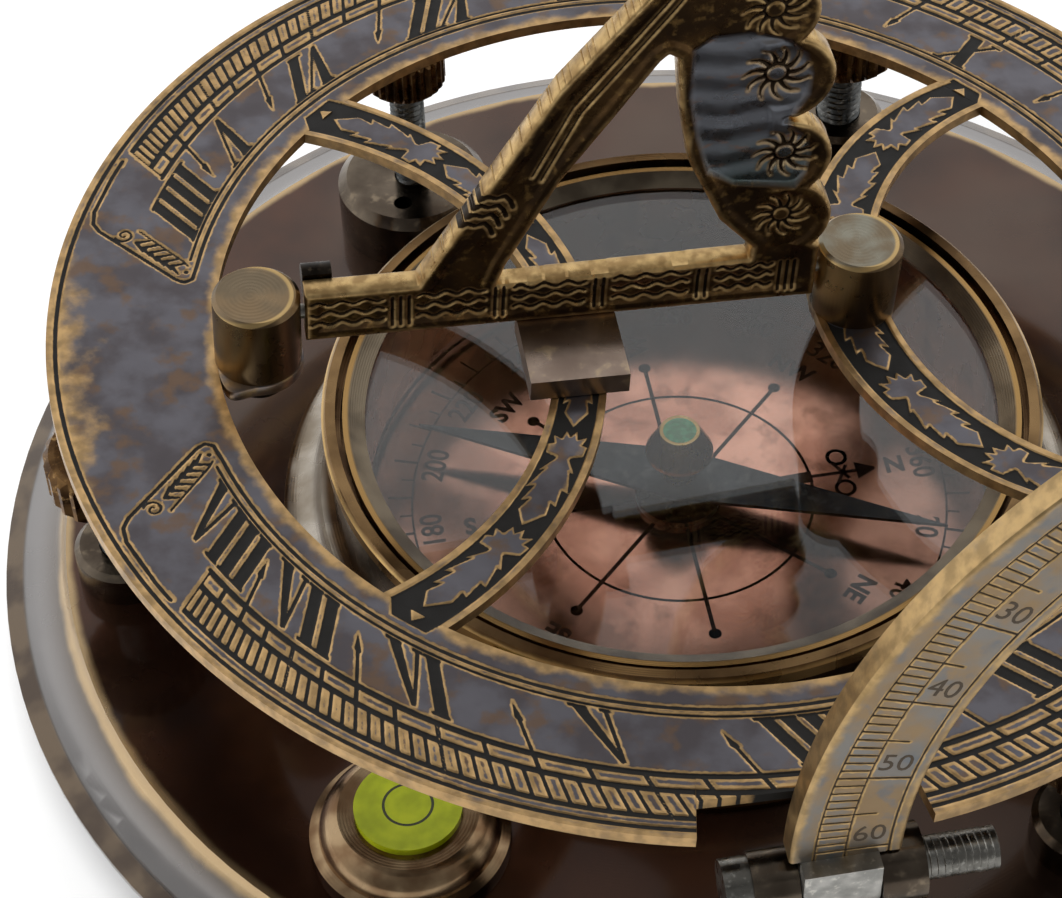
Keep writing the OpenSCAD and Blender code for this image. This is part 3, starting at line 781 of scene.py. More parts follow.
RING_GOLD = srgb(212, 174, 120)
INK = srgb(24, 22, 20)
ring_face = etched_finish("ring_etched_slate", srgb(110, 108, 114), srgb(92, 87, 90),
                          srgb(120, 96, 76), RING_GOLD, INK, rim_mm=0.21)
ring_edge = aged_brass("ring_edge_gold", srgb(110, 88, 60), srgb(154, 126, 84),
                       srgb(190, 160, 110), patch_mm=2)
# Painted shade: the copper underside is painted darker, for the little light that reaches under
# the ring.
ring_under_copper_and_shade = aged_brass("ring_underside_copper_with_painted_shade", srgb(150, 106, 88), srgb(132, 90, 74),
                        srgb(112, 76, 62), patch_mm=6, rough=(0.2, 0.3))

# %% [markdown]
# The hour lines of a horizontal dial all start at the foot of the gnomon.
# A line for one hour leaves noon at an angle whose tangent is the sine of
# the latitude times the tangent of fifteen degrees. The scale cells, the
# numerals and the half-hour arrows all lie along such lines.

# %% Hour lines
LATITUDE = math.radians(59)
DIAL_FOOT_MM = np.array([-31.0, 0.0])
FIRST_HOUR, LAST_HOUR = -8, 8


def at_polar(degrees, radius):
    a = np.radians(degrees)
    return np.stack([radius * np.cos(a), radius * np.sin(a)], -1)


def hour_degrees(hour, radius):
    """Where the line of an hour past noon crosses a circle of the ring."""
    turn = math.radians(15 * hour)
    course = math.atan2(math.sin(turn) * math.sin(LATITUDE), math.cos(turn))
    way = np.array([math.cos(course), -math.sin(course)])
    lead = DIAL_FOOT_MM @ way
    reach = -lead + math.sqrt(lead * lead + radius * radius - DIAL_FOOT_MM @ DIAL_FOOT_MM)
    x, y = DIAL_FOOT_MM + reach * way
    return math.degrees(math.atan2(y, x))


def time_cell(start, end, inner, outer, gap, parts=1):
    """Outline between two hour lines and two circles, less a gap beside it."""
    times = np.linspace(start, end, parts + 1)

    def side(radius, order):
        points = [hour_degrees(t, radius) for t in order]
        inset = math.degrees(gap / 2 / radius)
        turn = 1 if points[-1] > points[0] else -1
        points[0] += turn * inset
        points[-1] -= turn * inset
        return [at_polar(p, radius) for p in points]

    return np.array(side(inner, times) + side(outer, times[::-1]))


print("noon line at", round(hour_degrees(0, 58), 2), "deg; VIII at",
      round(hour_degrees(8, 55), 1), "deg")

# %% [markdown]
# Each numeral is drawn upright on a band of its own and then bent round the
# ring: along the arc it is measured from the hour's line, so a numeral leans
# exactly as its line does. Thick and thin strokes and hair serifs are plain
# outlines in a frame where 0 is the top of a letter and 1 its foot.

# %% Numerals and arrows
NUMERAL_TOP_MM, NUMERAL_FOOT_MM = 48.95, 54.4
THICK_MM, THIN_MM = 1.38, 0.46
LETTER_WIDTH_MM = {"I": 1.95, "V": 3.9, "X": 4.0}
HOUR_NAMES = {-8: "IIII", -7: "V", -6: "VI", -5: "VII", -4: "VIII", -3: "IX", -2: "X",
              -1: "XI", 0: "XII", 1: "I", 2: "II", 3: "III", 4: "IIII", 5: "V",
              6: "VI", 7: "VII", 8: "VIII"}


def serif(middle, top, half=0.95):
    low, high = (0, 0.06) if top else (0.94, 1)
    return [(middle - half, low), (middle + half, low),
            (middle + half, high), (middle - half, high)]


def letter_strokes(letter):
    """Outlines of one letter, in mm along the arc and 0 to 1 from top to foot."""
    if letter == "I":
        left, right, middle = 0.38, 0.38 + THICK_MM, 0.98
        return [[(left, 0), (right, 0), (right, 1), (left, 1)],
                serif(middle, True), serif(middle, False)]
    if letter == "V":
        return [[(0.35, 0), (0.35 + THICK_MM, 0), (2.5, 0.93), (2.2, 1.0), (1.95, 1.0)],
                [(3.25, 0), (3.25 + THIN_MM, 0), (2.45, 1.0), (2.1, 0.96)],
                serif(0.95, True, 0.9), serif(3.4, True, 0.55)]
    return [[(0.35, 0), (0.35 + THICK_MM, 0), (3.7, 1), (3.7 - THICK_MM, 1)],
            [(3.2, 0), (3.2 + THIN_MM, 0), (0.75, 1), (0.75 - THIN_MM, 1)],
            serif(0.95, True, 0.8), serif(3.4, True, 0.6),
            serif(0.6, False, 0.6), serif(3.1, False, 0.8)]


def bend_to_hour(stroke, hour, start, shift=0.0):
    """Lays a stroke round the ring beside its hour line."""
    points = []
    stroke = np.asarray(stroke, float)
    for (s0, t0), (s1, t1) in zip(stroke, np.roll(stroke, -1, axis=0)):
        for share in (0.0, 0.5):
            s, t = s0 + (s1 - s0) * share, t0 + (t1 - t0) * share
            radius = NUMERAL_TOP_MM + t * (NUMERAL_FOOT_MM - NUMERAL_TOP_MM)
            degrees = hour_degrees(hour, radius) + shift
            points.append(at_polar(degrees + math.degrees((s + start) / radius), radius))
    return np.array(points)


NUMERAL_SHIFT = {8: -0.8, 6: -1.4, 5: -1.6, 4: -2.6, 3: -1.8, 2: -1.0,
                 -8: 0.5, -7: 0.5, -6: 1.0, -5: 1.2, -4: 1.6, -3: 1.6, -2: 1.0}


def draw_numerals(drawing):
    for hour, name in HOUR_NAMES.items():
        start = -sum(LETTER_WIDTH_MM[c] for c in name) / 2
        for letter in name:
            for stroke in letter_strokes(letter):
                drawing.area(bend_to_hour(stroke, hour, start,
                                          NUMERAL_SHIFT.get(hour, 0.0)))
            start += LETTER_WIDTH_MM[letter]


ARROW = {"tip": 50.3, "barb": 51.9, "neck": 52.15, "half": 0.42, "stem": 0.34,
         "end": 55.1}


def draw_half_hour_arrows(drawing):
    for step in range(2 * FIRST_HOUR + 1, 2 * LAST_HOUR, 2):
        hour = step / 2

        def beside(radius, offset):
            degrees = hour_degrees(hour, radius) + math.degrees(offset / radius)
            return at_polar(degrees, radius)

        drawing.area([beside(ARROW["tip"], 0), beside(ARROW["barb"], ARROW["half"]),
                      beside(ARROW["neck"], 0.12), beside(ARROW["neck"], -0.12),
                      beside(ARROW["barb"], -ARROW["half"])])
        drawing.line([beside(ARROW["neck"] - 0.3, 0), beside(ARROW["end"], 0)],
                     ARROW["stem"])


print("numerals", len(HOUR_NAMES))

# %% [markdown]
# The rest of the ring's drawing is circles, the two rows of time cells and
# a bracket at each end of the scale, whose slanted side holds a leaf spray
# that ends in a scroll. Between the brackets the ring is bare.

# %% Circles, cells and brackets
SCALE_IN_MM, SCALE_OUT_MM = 54.85, 59.75
QUARTER_MM = (55.35, 56.4)
QUARTER_GAP_MM = 0.5
MINUTE_MM = (57.0, 59.2)
MINUTE_GAP_MM = 0.42
ARC_STEP_DEG = 0.5
RING_CIRCLES = ((60.62, 0.42, 179.9), (47.95, 0.4, 164.3), (48.72, 0.3, 163.6),
                (55.0, 0.42, 151.9))
BRACKET_MM = ((153.5, 59.75), (158.6, 59.7), (160.2, 59.3), (161.1, 58.4), (166.9, 49.7),
              (167.3, 48.8), (166.7, 48.1), (164.3, 47.95))
SPRAY_LINE_MM = ((164.6, 48.8), (163.9, 49.4), (160.2, 54.6))
SPRAY_SPINE_MM = ((165.4, 49.5), (161.9, 54.3))
SPRAY_LEAVES = 6
SPRAY_TIP = (165.6, 48.85)
SCROLL_MM = (161.1, 55.9)
SCROLL_RADIUS_MM, SCROLL_SHRINK_MM = 0.95, 0.095
SCROLL_TURNS, SCROLL_START = 1.3, 3.4


def draw_arc(drawing, radius, width, start, end):
    count = max(2, int(abs(end - start) / ARC_STEP_DEG))
    degrees = np.linspace(start, end, count)
    drawing.line(at_polar(degrees, np.full(count, radius)), width)


def draw_time_cells(drawing):
    for hour in range(FIRST_HOUR, LAST_HOUR):
        drawing.area(time_cell(hour, hour + 1, SCALE_IN_MM, SCALE_OUT_MM, 0, 8))
    for quarter in range(4 * FIRST_HOUR, 4 * LAST_HOUR):
        drawing.area(time_cell(quarter / 4, (quarter + 1) / 4, *QUARTER_MM,
                               QUARTER_GAP_MM, 4), raised=True)
    for five in range(12 * FIRST_HOUR, 12 * LAST_HOUR):
        drawing.area(time_cell(five / 12, (five + 1) / 12, *MINUTE_MM, MINUTE_GAP_MM),
                     raised=True)


def on_side(side, corners):
    return np.array([at_polar(side * a, r) for a, r in corners])


def draw_bracket(drawing, side):
    drawing.line(on_side(side, BRACKET_MM), 0.4)
    drawing.line(on_side(side, SPRAY_LINE_MM), 0.26)
    spine = np.array(SPRAY_SPINE_MM)
    for index in range(SPRAY_LEAVES):
        a, r = spine[0] + (spine[1] - spine[0]) * index / SPRAY_LEAVES
        root = at_polar(side * (a - 0.55), r + 0.95)
        for lean, drop in ((0.62, 0.25), (-1.15, -0.1)):
            drawing.line([at_polar(side * (a + lean), r + drop - 0.2), root], 0.26, 0.46)
    drawing.dot(at_polar(side * SPRAY_TIP[0], SPRAY_TIP[1]), 0.26)
    centre = at_polar(side * SCROLL_MM[0], SCROLL_MM[1])
    curl = []
    for turn in np.linspace(0, SCROLL_TURNS * 2 * math.pi, 26):
        way = side * (turn + SCROLL_START)
        reach = SCROLL_RADIUS_MM - SCROLL_SHRINK_MM * turn
        curl.append(centre + reach * np.array([math.cos(way), math.sin(way)]))
    drawing.line(curl, 0.3, 0.22)


CRESCENT_FIELDS = ((136.7, 135.0, 130.5, 129.6), (41.8, 41.2, 37.0, 35.9))


def draw_ring(drawing):
    draw_time_cells(drawing)
    for radius, width, end in RING_CIRCLES:
        draw_arc(drawing, radius, width, -end, end)
    for side in (-1, 1):
        draw_arc(drawing, SCALE_OUT_MM, 0.4, side * 151, side * 154)
        draw_bracket(drawing, side)
        for outer_a, inner_a, inner_b, outer_b in CRESCENT_FIELDS:
            field = [(outer_a, 45.3), (inner_a, 46.95), (inner_b, 46.95), (outer_b, 45.3)]
            drawing.area([at_polar(side * a, r) for a, r in field])
            middle = (inner_a + inner_b) / 2
            leaf = [(middle - 1.2, 45.2), (middle + 1.2, 45.2), (middle, 46.5)]
            drawing.area([at_polar(side * a, r) for a, r in leaf], raised=True)
    draw_numerals(drawing)
    draw_half_hour_arrows(drawing)


print("ring drawing ready")

# %% [markdown]
# The ring is made in two bands that meet in a black circle of the drawing,
# because one mesh fine enough for the numerals would be too heavy. The
# outer band narrows where the latitude arc swings through its notch and
# where the ears of the hinge stand.

# %% The two bands of the hour ring
RING_OUT_MM, RING_IN_MM, RING_THICK_MM = 61.5, 45.5, 1.2
BAND_SEAM_MM = 54.95
NOTCH = (-100.6, -81.5, 56.7)
EAR_SLOTS = ((5.75, 9.35), (-9.35, -5.75))
EAR_SLOT_X_MM = 56.2
STEP_DEG = 0.012
CELL_WEAR_MM, CELL_END_DEG = 0.17, 152
BARE_FROM_DEG, BARE_FADE_DEG, BARE_RUB = 164, 6, 0.72


def outer_limit(degrees):
    """The outer radius at an angle, less in the notch and the ear slots."""
    limit = np.full(len(degrees), RING_OUT_MM)
    notch = (degrees > NOTCH[0]) & (degrees < NOTCH[1])
    limit[notch] = NOTCH[2] / np.abs(np.sin(np.radians(degrees[notch])))
    for low, high in EAR_SLOTS:
        slot = (degrees > low) & (degrees < high)
        limit[slot] = EAR_SLOT_X_MM / np.cos(np.radians(degrees[slot]))
    return limit


def band_columns(count):
    """Angles of the grid's columns, in pairs at each wall of notch and slots."""
    walls = [NOTCH[0], NOTCH[1]] + [w for slot in EAR_SLOTS for w in slot]
    even = np.linspace(-180, 180, count + 1 - 2 * len(walls))
    extra = [w + d for w in walls for d in (-STEP_DEG, STEP_DEG)]
    return np.sort(np.concatenate([even, extra]))


def edge_distance(degrees, radius):
    """Distance to the ring's free edges, shorter where hands rub it most."""
    edge = np.minimum(radius - RING_IN_MM, outer_limit(degrees) - radius)
    bare = np.clip((np.abs(degrees) - BARE_FROM_DEG) / BARE_FADE_DEG, 0, 1)
    outer = (RING_OUT_MM - radius) * (1 - BARE_RUB * bare)
    return np.minimum(edge, np.maximum(outer, 0))


def finish_ring_sheet(piece, name):
    """Puts a sheet of the ring in its place with the ring's three finishes."""
    sort_finishes(piece)
    piece.data.transform(ring_place())
    settle(piece, name, "dial_ring", "ring_slate", ring_face, ring_edge, ring_under_copper_and_shade)
    smooth(piece)
    return piece


def ring_band(name, columns, rows, inner, outer):
    piece = grid_sheet(columns, rows)
    degrees, share = np.meshgrid(band_columns(columns), np.linspace(0, 1, rows + 1))
    degrees = degrees.ravel()
    radius = inner + share.ravel() * (outer(degrees) - inner)
    plan = at_polar(degrees, radius)
    drawing = Drawing(plan[:, 0], plan[:, 1])
    draw_ring(drawing)
    move_corners(piece, np.column_stack([plan, pressed(drawing.cut_mm)]) * MM)
    store(piece, "cut_mm", drawing.cut_mm)
    store(piece, "edge_mm", edge_distance(degrees, radius))
    in_cells = ((radius > SCALE_IN_MM) & (radius < SCALE_OUT_MM)
                & (np.abs(degrees) < CELL_END_DEG))
    store(piece, "worn_mm", CELL_WEAR_MM * in_cells)
    close_below(piece, RING_THICK_MM, True)
    return finish_ring_sheet(piece, name)


outer_band = ring_band("hour_ring_scale_band", 2100, 38, BAND_SEAM_MM, outer_limit)
inner_band = ring_band("hour_ring_numeral_band", 1660, 50, RING_IN_MM,
                       lambda degrees: np.full(len(degrees), BAND_SEAM_MM))

# %% [markdown]
# Two crescents cross the ring's opening. Each lies between two circles that
# are not concentric, so its grid is laid from one circle to the other. The
# field is sunk and black between two gold beads, and a row of serrated
# leaves stands in it, pointing from both ends to the middle.

# %% The crescents
CRESCENTS = {
    "south": {"outer": (-49.7, 41.3), "inner": (-47.0, 33.5), "side": 1},
    "north": {"outer": (45.7, 33.0), "inner": (48.3, 28.5), "side": -1},
}
BEAD_MM = 0.72
TUCK_MM = 0.02
END_RADIUS_MM = 46.4
LEAF_HALF = [(0, 0), (1.9, 1.12), (3.5, 0.85), (3.1, 1.42), (5.3, 1.12), (5.0, 1.72),
             (7.7, 1.02), (7.4, 1.5), (9.1, 0.6), (9.4, 0.6), (9.8, 1.62), (11.0, 1.75),
             (11.15, 1.2), (12.2, 1.5), (11.8, 0.72), (12.9, 0.45), (12.1, 0)]
LEAF_OUTLINE = LEAF_HALF + [(s, -w) for s, w in LEAF_HALF[:0:-1]]
LEAF_LENGTH_MM = 13.4


def meet_angle(middle, radius, ring_radius):
    """Angle on a circle centred on X where it meets a circle of the ring."""
    x = (ring_radius ** 2 - radius ** 2 + middle ** 2) / (2 * middle)
    return math.acos(max(-1, min(1, abs(x - middle) / radius)))


def crescent_point(shape, turn, across):
    """A point at turn (-1 to 1) along the crescent, 0 inner to 1 outer."""
    ends = []
    for key in ("inner", "outer"):
        middle, radius = shape[key]
        a = meet_angle(middle, radius, END_RADIUS_MM) * turn
        ends.append(np.stack([middle + shape["side"] * radius * np.cos(a),
                              radius * np.sin(a)], -1))
    share = np.asarray(across)[..., None]
    return ends[0] * (1 - share) + ends[1] * share


def draw_leaves(drawing, shape):
    middle, radius = shape["outer"]
    half_length = meet_angle(middle, radius, END_RADIUS_MM) * radius * 0.97
    for side in (-1, 1):
        start = half_length - 1.8
        while start > 2:
            points = []
            for s, w in LEAF_OUTLINE:
                along = (start - min(s, start + 0.5)) / half_length
                spot = crescent_point(shape, side * along, 0.5)
                inner = crescent_point(shape, side * along, 0.0)
                outer = crescent_point(shape, side * along, 1.0)
                width = np.linalg.norm(outer - inner)
                way = (outer - inner) / width
                points.append(spot + way * w * min(1.15, (width - 1.8) / 3.6) * 1.05)
            drawing.area(points, raised=True)
            start -= LEAF_LENGTH_MM


def crescent(name, shape, columns, rows):
    piece = grid_sheet(columns, rows)
    turn, across = np.meshgrid(np.linspace(-1, 1, columns + 1), np.linspace(0, 1, rows + 1))
    plan = crescent_point(shape, turn.ravel(), across.ravel())
    inner_x, inner_r = shape["inner"]
    outer_x, outer_r = shape["outer"]
    edge = np.minimum(outer_r - np.hypot(plan[:, 0] - outer_x, plan[:, 1]),
                      np.hypot(plan[:, 0] - inner_x, plan[:, 1]) - inner_r)
    drawing = Drawing(plan[:, 0], plan[:, 1])
    drawing.cut_mm = np.minimum(drawing.cut_mm, BEAD_MM - edge)
    draw_leaves(drawing, shape)
    height = pressed(drawing.cut_mm) - TUCK_MM * (np.hypot(*plan.T) > RING_IN_MM)
    move_corners(piece, np.column_stack([plan, height]) * MM)
    store(piece, "cut_mm", drawing.cut_mm)
    store(piece, "edge_mm", np.minimum(edge * 0.8, 5))
    close_below(piece, RING_THICK_MM - 0.03, False)
    return finish_ring_sheet(piece, name)


south_crescent = crescent("crescent_south", CRESCENTS["south"], 560, 44)
north_crescent = crescent("crescent_north", CRESCENTS["north"], 440, 50)

# %% [markdown]
# The south post stands on a lug that grows out of the ring with hollow
# flanks, the north post on a round one. Each is a cylinder primitive. The
# south one's rim is pulled out towards the ring, and a bevel on both
# catches the light.

# %% The lugs below the posts
POST_X_MM = {"south": -41.5, "north": 16.7}
LUG_RADIUS_MM = {"south": 4.3, "north": 4.15}
LUG_ROOT_MM = (-45.6, 9.0)


def post_lug(name, middle, radius, root=None):
    clear_selection()
    bpy.ops.mesh.primitive_cylinder_add(vertices=96, radius=radius * MM,
                                        depth=RING_THICK_MM * MM,
                                        location=(middle * MM, 0, -RING_THICK_MM * MM / 2))
    piece = bpy.context.object
    bpy.ops.object.transform_apply(location=True)
    places = corners_of(piece).copy()
    if root:
        root_x, root_half_width = root
        back = places[:, 0] < middle * MM
        reach = (middle * MM - places[:, 0]) / (radius * MM)
        spread = 1 + (root_half_width / radius - 1) * np.clip(reach, 0, 1) ** 2.2
        far = (middle - root_x) / radius
        places[back, 0] = middle * MM - (middle * MM - places[back, 0]) * far
        places[back, 1] *= spread[back]
    places[:, 2] -= TUCK_MM * MM
    move_corners(piece, places)
    bevel = piece.modifiers.new("rubbed_edge", "BEVEL")
    bevel.width = 0.15 * MM
    bevel.segments = 2
    bevel.limit_method = "ANGLE"
    bpy.ops.object.modifier_apply(modifier="rubbed_edge")
    count = len(piece.data.vertices)
    store(piece, "cut_mm", np.full(count, Drawing.CLEAR))
    store(piece, "edge_mm", np.full(count, 0.9))
    return finish_ring_sheet(piece, name)


south_lug = post_lug("post_lug_south", POST_X_MM["south"], LUG_RADIUS_MM["south"], LUG_ROOT_MM)
north_lug = post_lug("post_lug_north", POST_X_MM["north"], LUG_RADIUS_MM["north"])
for sheet in (outer_band, inner_band, south_crescent, north_crescent, south_lug, north_lug):
    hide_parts("hour_ring")
paint(ring_edge, "ring_rivets")

# %% [markdown]
# The gnomon is a cast plate with rounded borders, a scalloped back and a
# sunk panel whose patina runs from teal to pink. It is cut from a grid: the
# corners outside its outline are deleted, those beside it are drawn onto
# it, and the borders, panel and engraving are heights over the plan. Two
# such faces back to back make the plate.

# %% Outline of the gnomon
GNOMON_T_MM = 2.5
BAR_X0_MM, BAR_X1_MM = -37.0, 12.2
BAR_Z0_MM, BAR_Z1_MM = 2.4, 8.3
SCALLOPS_MM = ((8.0, 12.6, 4.9), (7.4, 20.2, 4.7), (6.5, 30.0, 4.9), (4.6, 37.6, 4.6),
               (2.6, 44.4, 4.2), (0.2, 50.0, 4.0))
LEAF_MM = ((BAR_X0_MM, BAR_Z0_MM), (BAR_X1_MM, BAR_Z0_MM), (BAR_X1_MM, 8.9), (8, 12),
           (7.8, 20), (6.6, 30), (4.6, 38), (2.6, 44.4), (0.2, 50), (-1.6, 52),
           (-3.6, 46.4), (-6.4, 40.8), (-13.9, 31), (-19, 21.8), (-26.4, BAR_Z1_MM),
           (BAR_X0_MM, BAR_Z1_MM))
OPENING_MM = ((-18.9, 7.4), (-18.2, 9.8), (-13.4, 19.9), (-8.3, 27.9), (-5, 33.2),
              (-4.2, 34), (-3.4, 33.5), (-2.7, 27.5), (-1.4, 20.9), (2.1, 13.3),
              (5.5, 9.5), (5.4, 7.9))
PANEL_MM = ((-2.2, 34.4), (-0.4, 35.8), (3.0, 36.0), (6.8, 34.8), (8.6, 33.0), (9.4, 30.6),
            (9.3, 28.0), (8.2, 26.0), (8.0, 24.6), (9.6, 23.0), (10.2, 21.0), (10.0, 18.4),
            (9.0, 16.6), (3.0, 17.6), (0.2, 19.4), (-1.2, 24.0), (-2.2, 29.0))


def inside_mm(x, z, outline):
    return -outline_distance(x, z, np.array(outline, float))


def gnomon_edge(x, z):
    """Distance in mm inside the gnomon's outline, below 0 outside."""
    edge = inside_mm(x, z, LEAF_MM)
    for cx, cz, radius in SCALLOPS_MM:
        edge = np.maximum(edge, radius - np.hypot(x - cx, z - cz))
    edge = np.minimum(edge, -inside_mm(x, z, OPENING_MM))
    return np.minimum(edge, np.maximum(BAR_X1_MM - x, z - 8.3))


def sunburst(drawing, cx, cz, size=1.0):
    """A small sun: a ring with eleven curved rays."""
    turns = np.linspace(0, 2 * math.pi, 20)
    ring = np.stack([cx + 1.05 * size * np.cos(turns), cz + 1.05 * size * np.sin(turns)], -1)
    drawing.line(ring, 0.32 * size)
    for ray in range(11):
        a = 2 * math.pi * ray / 11
        steps = np.linspace(0, 1, 6)
        reach = (1.2 + 1.9 * steps) * size
        bow = a + 0.35 * steps ** 2
        drawing.line(np.stack([cx + reach * np.cos(bow), cz + reach * np.sin(bow)], -1),
                     0.5 * size, 0.12)


def wave_line(drawing, start, end, swing, waves, width=0.34):
    start, end = np.array(start, float), np.array(end, float)
    share = np.linspace(0, 1, 10 * waves + 1)
    along = end - start
    across = np.array([-along[1], along[0]]) / np.linalg.norm(along)
    sway = swing * np.sin(share * waves * 2 * math.pi)
    drawing.line(start + share[:, None] * along + sway[:, None] * across, width)


def draw_gnomon(drawing):
    for cx, cz, size in ((5.0, 38.2, 0.95), (5.9, 30.6, 1.0), (7.6, 21.0, 0.95),
                         (8.0, 13.4, 0.85), (2.4, 45.0, 0.85)):
        sunburst(drawing, cx, cz, size)
    for step in range(4):
        z = 18.6 - 1.05 * step
        x = -19.4 - 0.62 * step
        chevron = [(x - 1.5, z - 0.15), (x - 0.6, z + 0.35), (x + 0.2, z - 0.05),
                   (x + 1.0, z + 0.1), (x + 1.5, z - 0.55), (x + 1.75, z - 1.35)]
        drawing.line(chevron, 0.5)
    for x in (-28.8, -28.0, -27.2, -19.0, -18.2, -9.4, -8.6, 0.6, 1.4, 8.6, 9.3, 10.0):
        drawing.line([(x, 3.5), (x, 7.1)], 0.36)
    for x0, x1 in ((-36.4, -29.6), (-26.4, -20.0), (-17.2, -10.4), (-7.6, -0.4), (2.4, 7.8)):
        for z, phase in ((7.0, 1), (5.7, -1), (4.4, 1)):
            wave_line(drawing, (x0, z), (x1, z), 0.24 * phase, 3, 0.36)
    for offset in (1.5, 2.5):
        foot = np.array([-22.6, 12.6]) + offset * np.array([0.87, -0.49])
        knee = np.array([-13.9, 29.4]) + offset * np.array([0.85, -0.53])
        head = np.array([-6.0, 40.6]) + offset * np.array([0.8, -0.6])
        drawing.line([foot + (head - foot) * 0.32, knee, head, head + (3.2, 5.0)], 0.2)


# %% Faces of the gnomon
GNOMON_CELL_MM = 0.16
GNOMON_ROUND_MM = 0.38
SHEET_MARGIN_MM = (2.0, 0.5)
SHEET_Z_MM, SHEET_HEIGHT_MM = 1.6, 53
SNAP_SHARE = 0.62


def gnomon_height(x, z, edge, cut_mm):
    """Height of the face over the plate's middle."""
    t = np.clip(1 - edge / GNOMON_ROUND_MM, 0, 1)
    border = GNOMON_T_MM / 2 - GNOMON_ROUND_MM * (1 - np.sqrt(1 - t * t * 0.94))
    panel = np.clip(inside_mm(x, z, PANEL_MM) / 0.5, 0, 1)
    panel = panel * panel * (3 - 2 * panel)
    ripple = 0.05 * np.sin(z * 2.1 + 0.5 * np.sin(x * 0.9)) * panel
    hollow = 0.16 * np.clip((edge - 1.1) / 0.5, 0, 1)
    return border - 0.28 * panel + ripple - hollow + pressed(cut_mm, 0.16)


def gnomon_face(name, side):
    width = BAR_X1_MM - BAR_X0_MM + SHEET_MARGIN_MM[0]
    piece = grid_sheet(int(width / GNOMON_CELL_MM), int(SHEET_HEIGHT_MM / GNOMON_CELL_MM))
    flat = corners_of(piece)
    x = BAR_X0_MM - SHEET_MARGIN_MM[1] + (flat[:, 0] + 1) / 2 * width
    z = SHEET_Z_MM + (flat[:, 1] + 1) / 2 * SHEET_HEIGHT_MM
    edge = gnomon_edge(x, z)
    tiny = 0.01
    slope_x = (gnomon_edge(x + tiny, z) - gnomon_edge(x - tiny, z)) / (2 * tiny)
    slope_z = (gnomon_edge(x, z + tiny) - gnomon_edge(x, z - tiny)) / (2 * tiny)
    near_edge = np.abs(edge) < SNAP_SHARE * GNOMON_CELL_MM
    x = np.where(near_edge, x - edge * slope_x, x)
    z = np.where(near_edge, z - edge * slope_z, z)
    keep = edge > -SNAP_SHARE * GNOMON_CELL_MM
    edge = np.where(near_edge, 0.0, edge)
    drawing = Drawing(x, z)
    draw_gnomon(drawing)
    height = gnomon_height(x, z, edge, drawing.cut_mm)
    move_corners(piece, np.column_stack([x, z, height]) * MM)
    store(piece, "cut_mm", drawing.cut_mm)
    store(piece, "edge_mm", edge)
    store(piece, "panel", np.clip(inside_mm(x, z, PANEL_MM) / 0.6, 0, 1))
    in_edit_mode(piece)
    bpy.ops.mesh.select_all(action="DESELECT")
    in_object_mode()
    piece.data.vertices.foreach_set("select", ~keep)
    bpy.ops.object.mode_set(mode="EDIT")
    bpy.ops.mesh.delete(type="VERT")
    in_object_mode()
    close_to_middle(piece)
    sort_finishes(piece)
    stand = Matrix(((1, 0, 0, 0), (0, 0, -side, 0), (0, 1, 0, 0), (0, 0, 0, 1)))
    piece.data.transform(ring_place() @ stand)
    if side < 0:
        piece.data.flip_normals()
    settle(piece, name, "gnomon_leaf", "gnomon_brass", gnomon_brass, gnomon_edge_wear_and_highlight,
           gnomon_edge_wear_and_highlight)
    smooth(piece, 50)
    return piece


def close_to_middle(piece):
    """Draws the open edges down to the plate's middle and closes them."""
    in_edit_mode(piece, "EDGE")
    select_open_edges()
    bpy.ops.mesh.extrude_edges_move(TRANSFORM_OT_translate={"value": (0, 0, -0.4 * MM)})
    bpy.ops.transform.resize(value=(1, 1, 0), center_override=(0, 0, 0))
    bpy.ops.mesh.fill()
    turn_faces_out()
    in_object_mode()


def gnomon_finish():
    f = Finish("gnomon_cast_brass")
    z = f.axes()[0]
    edge, cut, panel = f.attribute("edge_mm"), f.attribute("cut_mm"), f.attribute("panel")
    dark = f.mix(f.fade(f.noise(4, 5), 0.38, 0.62), srgb(86, 64, 38), srgb(54, 40, 26))
    dark = f.mix(f.fade(f.noise(0.9, 4), 0.52, 0.76), dark, srgb(124, 98, 58))
    bright = f.mix(f.fade(f.noise(1.4, 3), 0.35, 0.65), srgb(206, 174, 120), srgb(160, 130, 86))
    from_edge = f.maths("ADD", edge, f.maths("MULTIPLY", f.noise(1.6, 4), 0.5))
    colour = f.mix(f.fade(from_edge, 0.95, 0.4), dark, bright)
    drift = f.maths("ADD", f.maths("MULTIPLY", z, 0.055), f.noise(5, 4))
    hue = f.mix(f.fade(drift, 3.05, 3.75), srgb(88, 112, 110), srgb(118, 122, 130))
    hue = f.mix(f.fade(f.noise(3, 4, stretch=(1, 1, 2.5)), 0.6, 0.76), hue, srgb(146, 112, 92))
    colour = f.mix(panel, colour, hue)
    rim = f.fade(cut, 0.34, 0.1)
    colour = f.mix(f.maths("MULTIPLY", rim, 0.6), colour, bright)
    colour = f.mix(f.fade(cut, 0.03, -0.05), colour, srgb(42, 32, 22))
    f.relief(f.noise(0.5, 5), 0.03, 0.7)
    return f.done(colour, 0.95, f.fade(f.noise(2, 4), 0.3, 0.7, 0.24, 0.42))


gnomon_brass = gnomon_finish()
# Painted highlight: the edge faces are painted a light pinkish brass, partly rubbed metal and
# partly the light on the upper edges.
gnomon_edge_wear_and_highlight = aged_brass("gnomon_edge_brass_painted_highlight", srgb(146, 126, 112), srgb(172, 150, 132),
                         srgb(194, 168, 134), patch_mm=5, rough=(0.2, 0.3))
gnomon_front = gnomon_face("gnomon_face_east", 1)
gnomon_back = gnomon_face("gnomon_face_west", -1)
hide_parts("gnomon")
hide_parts("gnomon")
paint(aged_brass("gnomon_foot_brass", srgb(142, 124, 112), srgb(166, 148, 134),
                 srgb(190, 168, 140), patch_mm=6, rough=(0.26, 0.36)), "gnomon_foot")

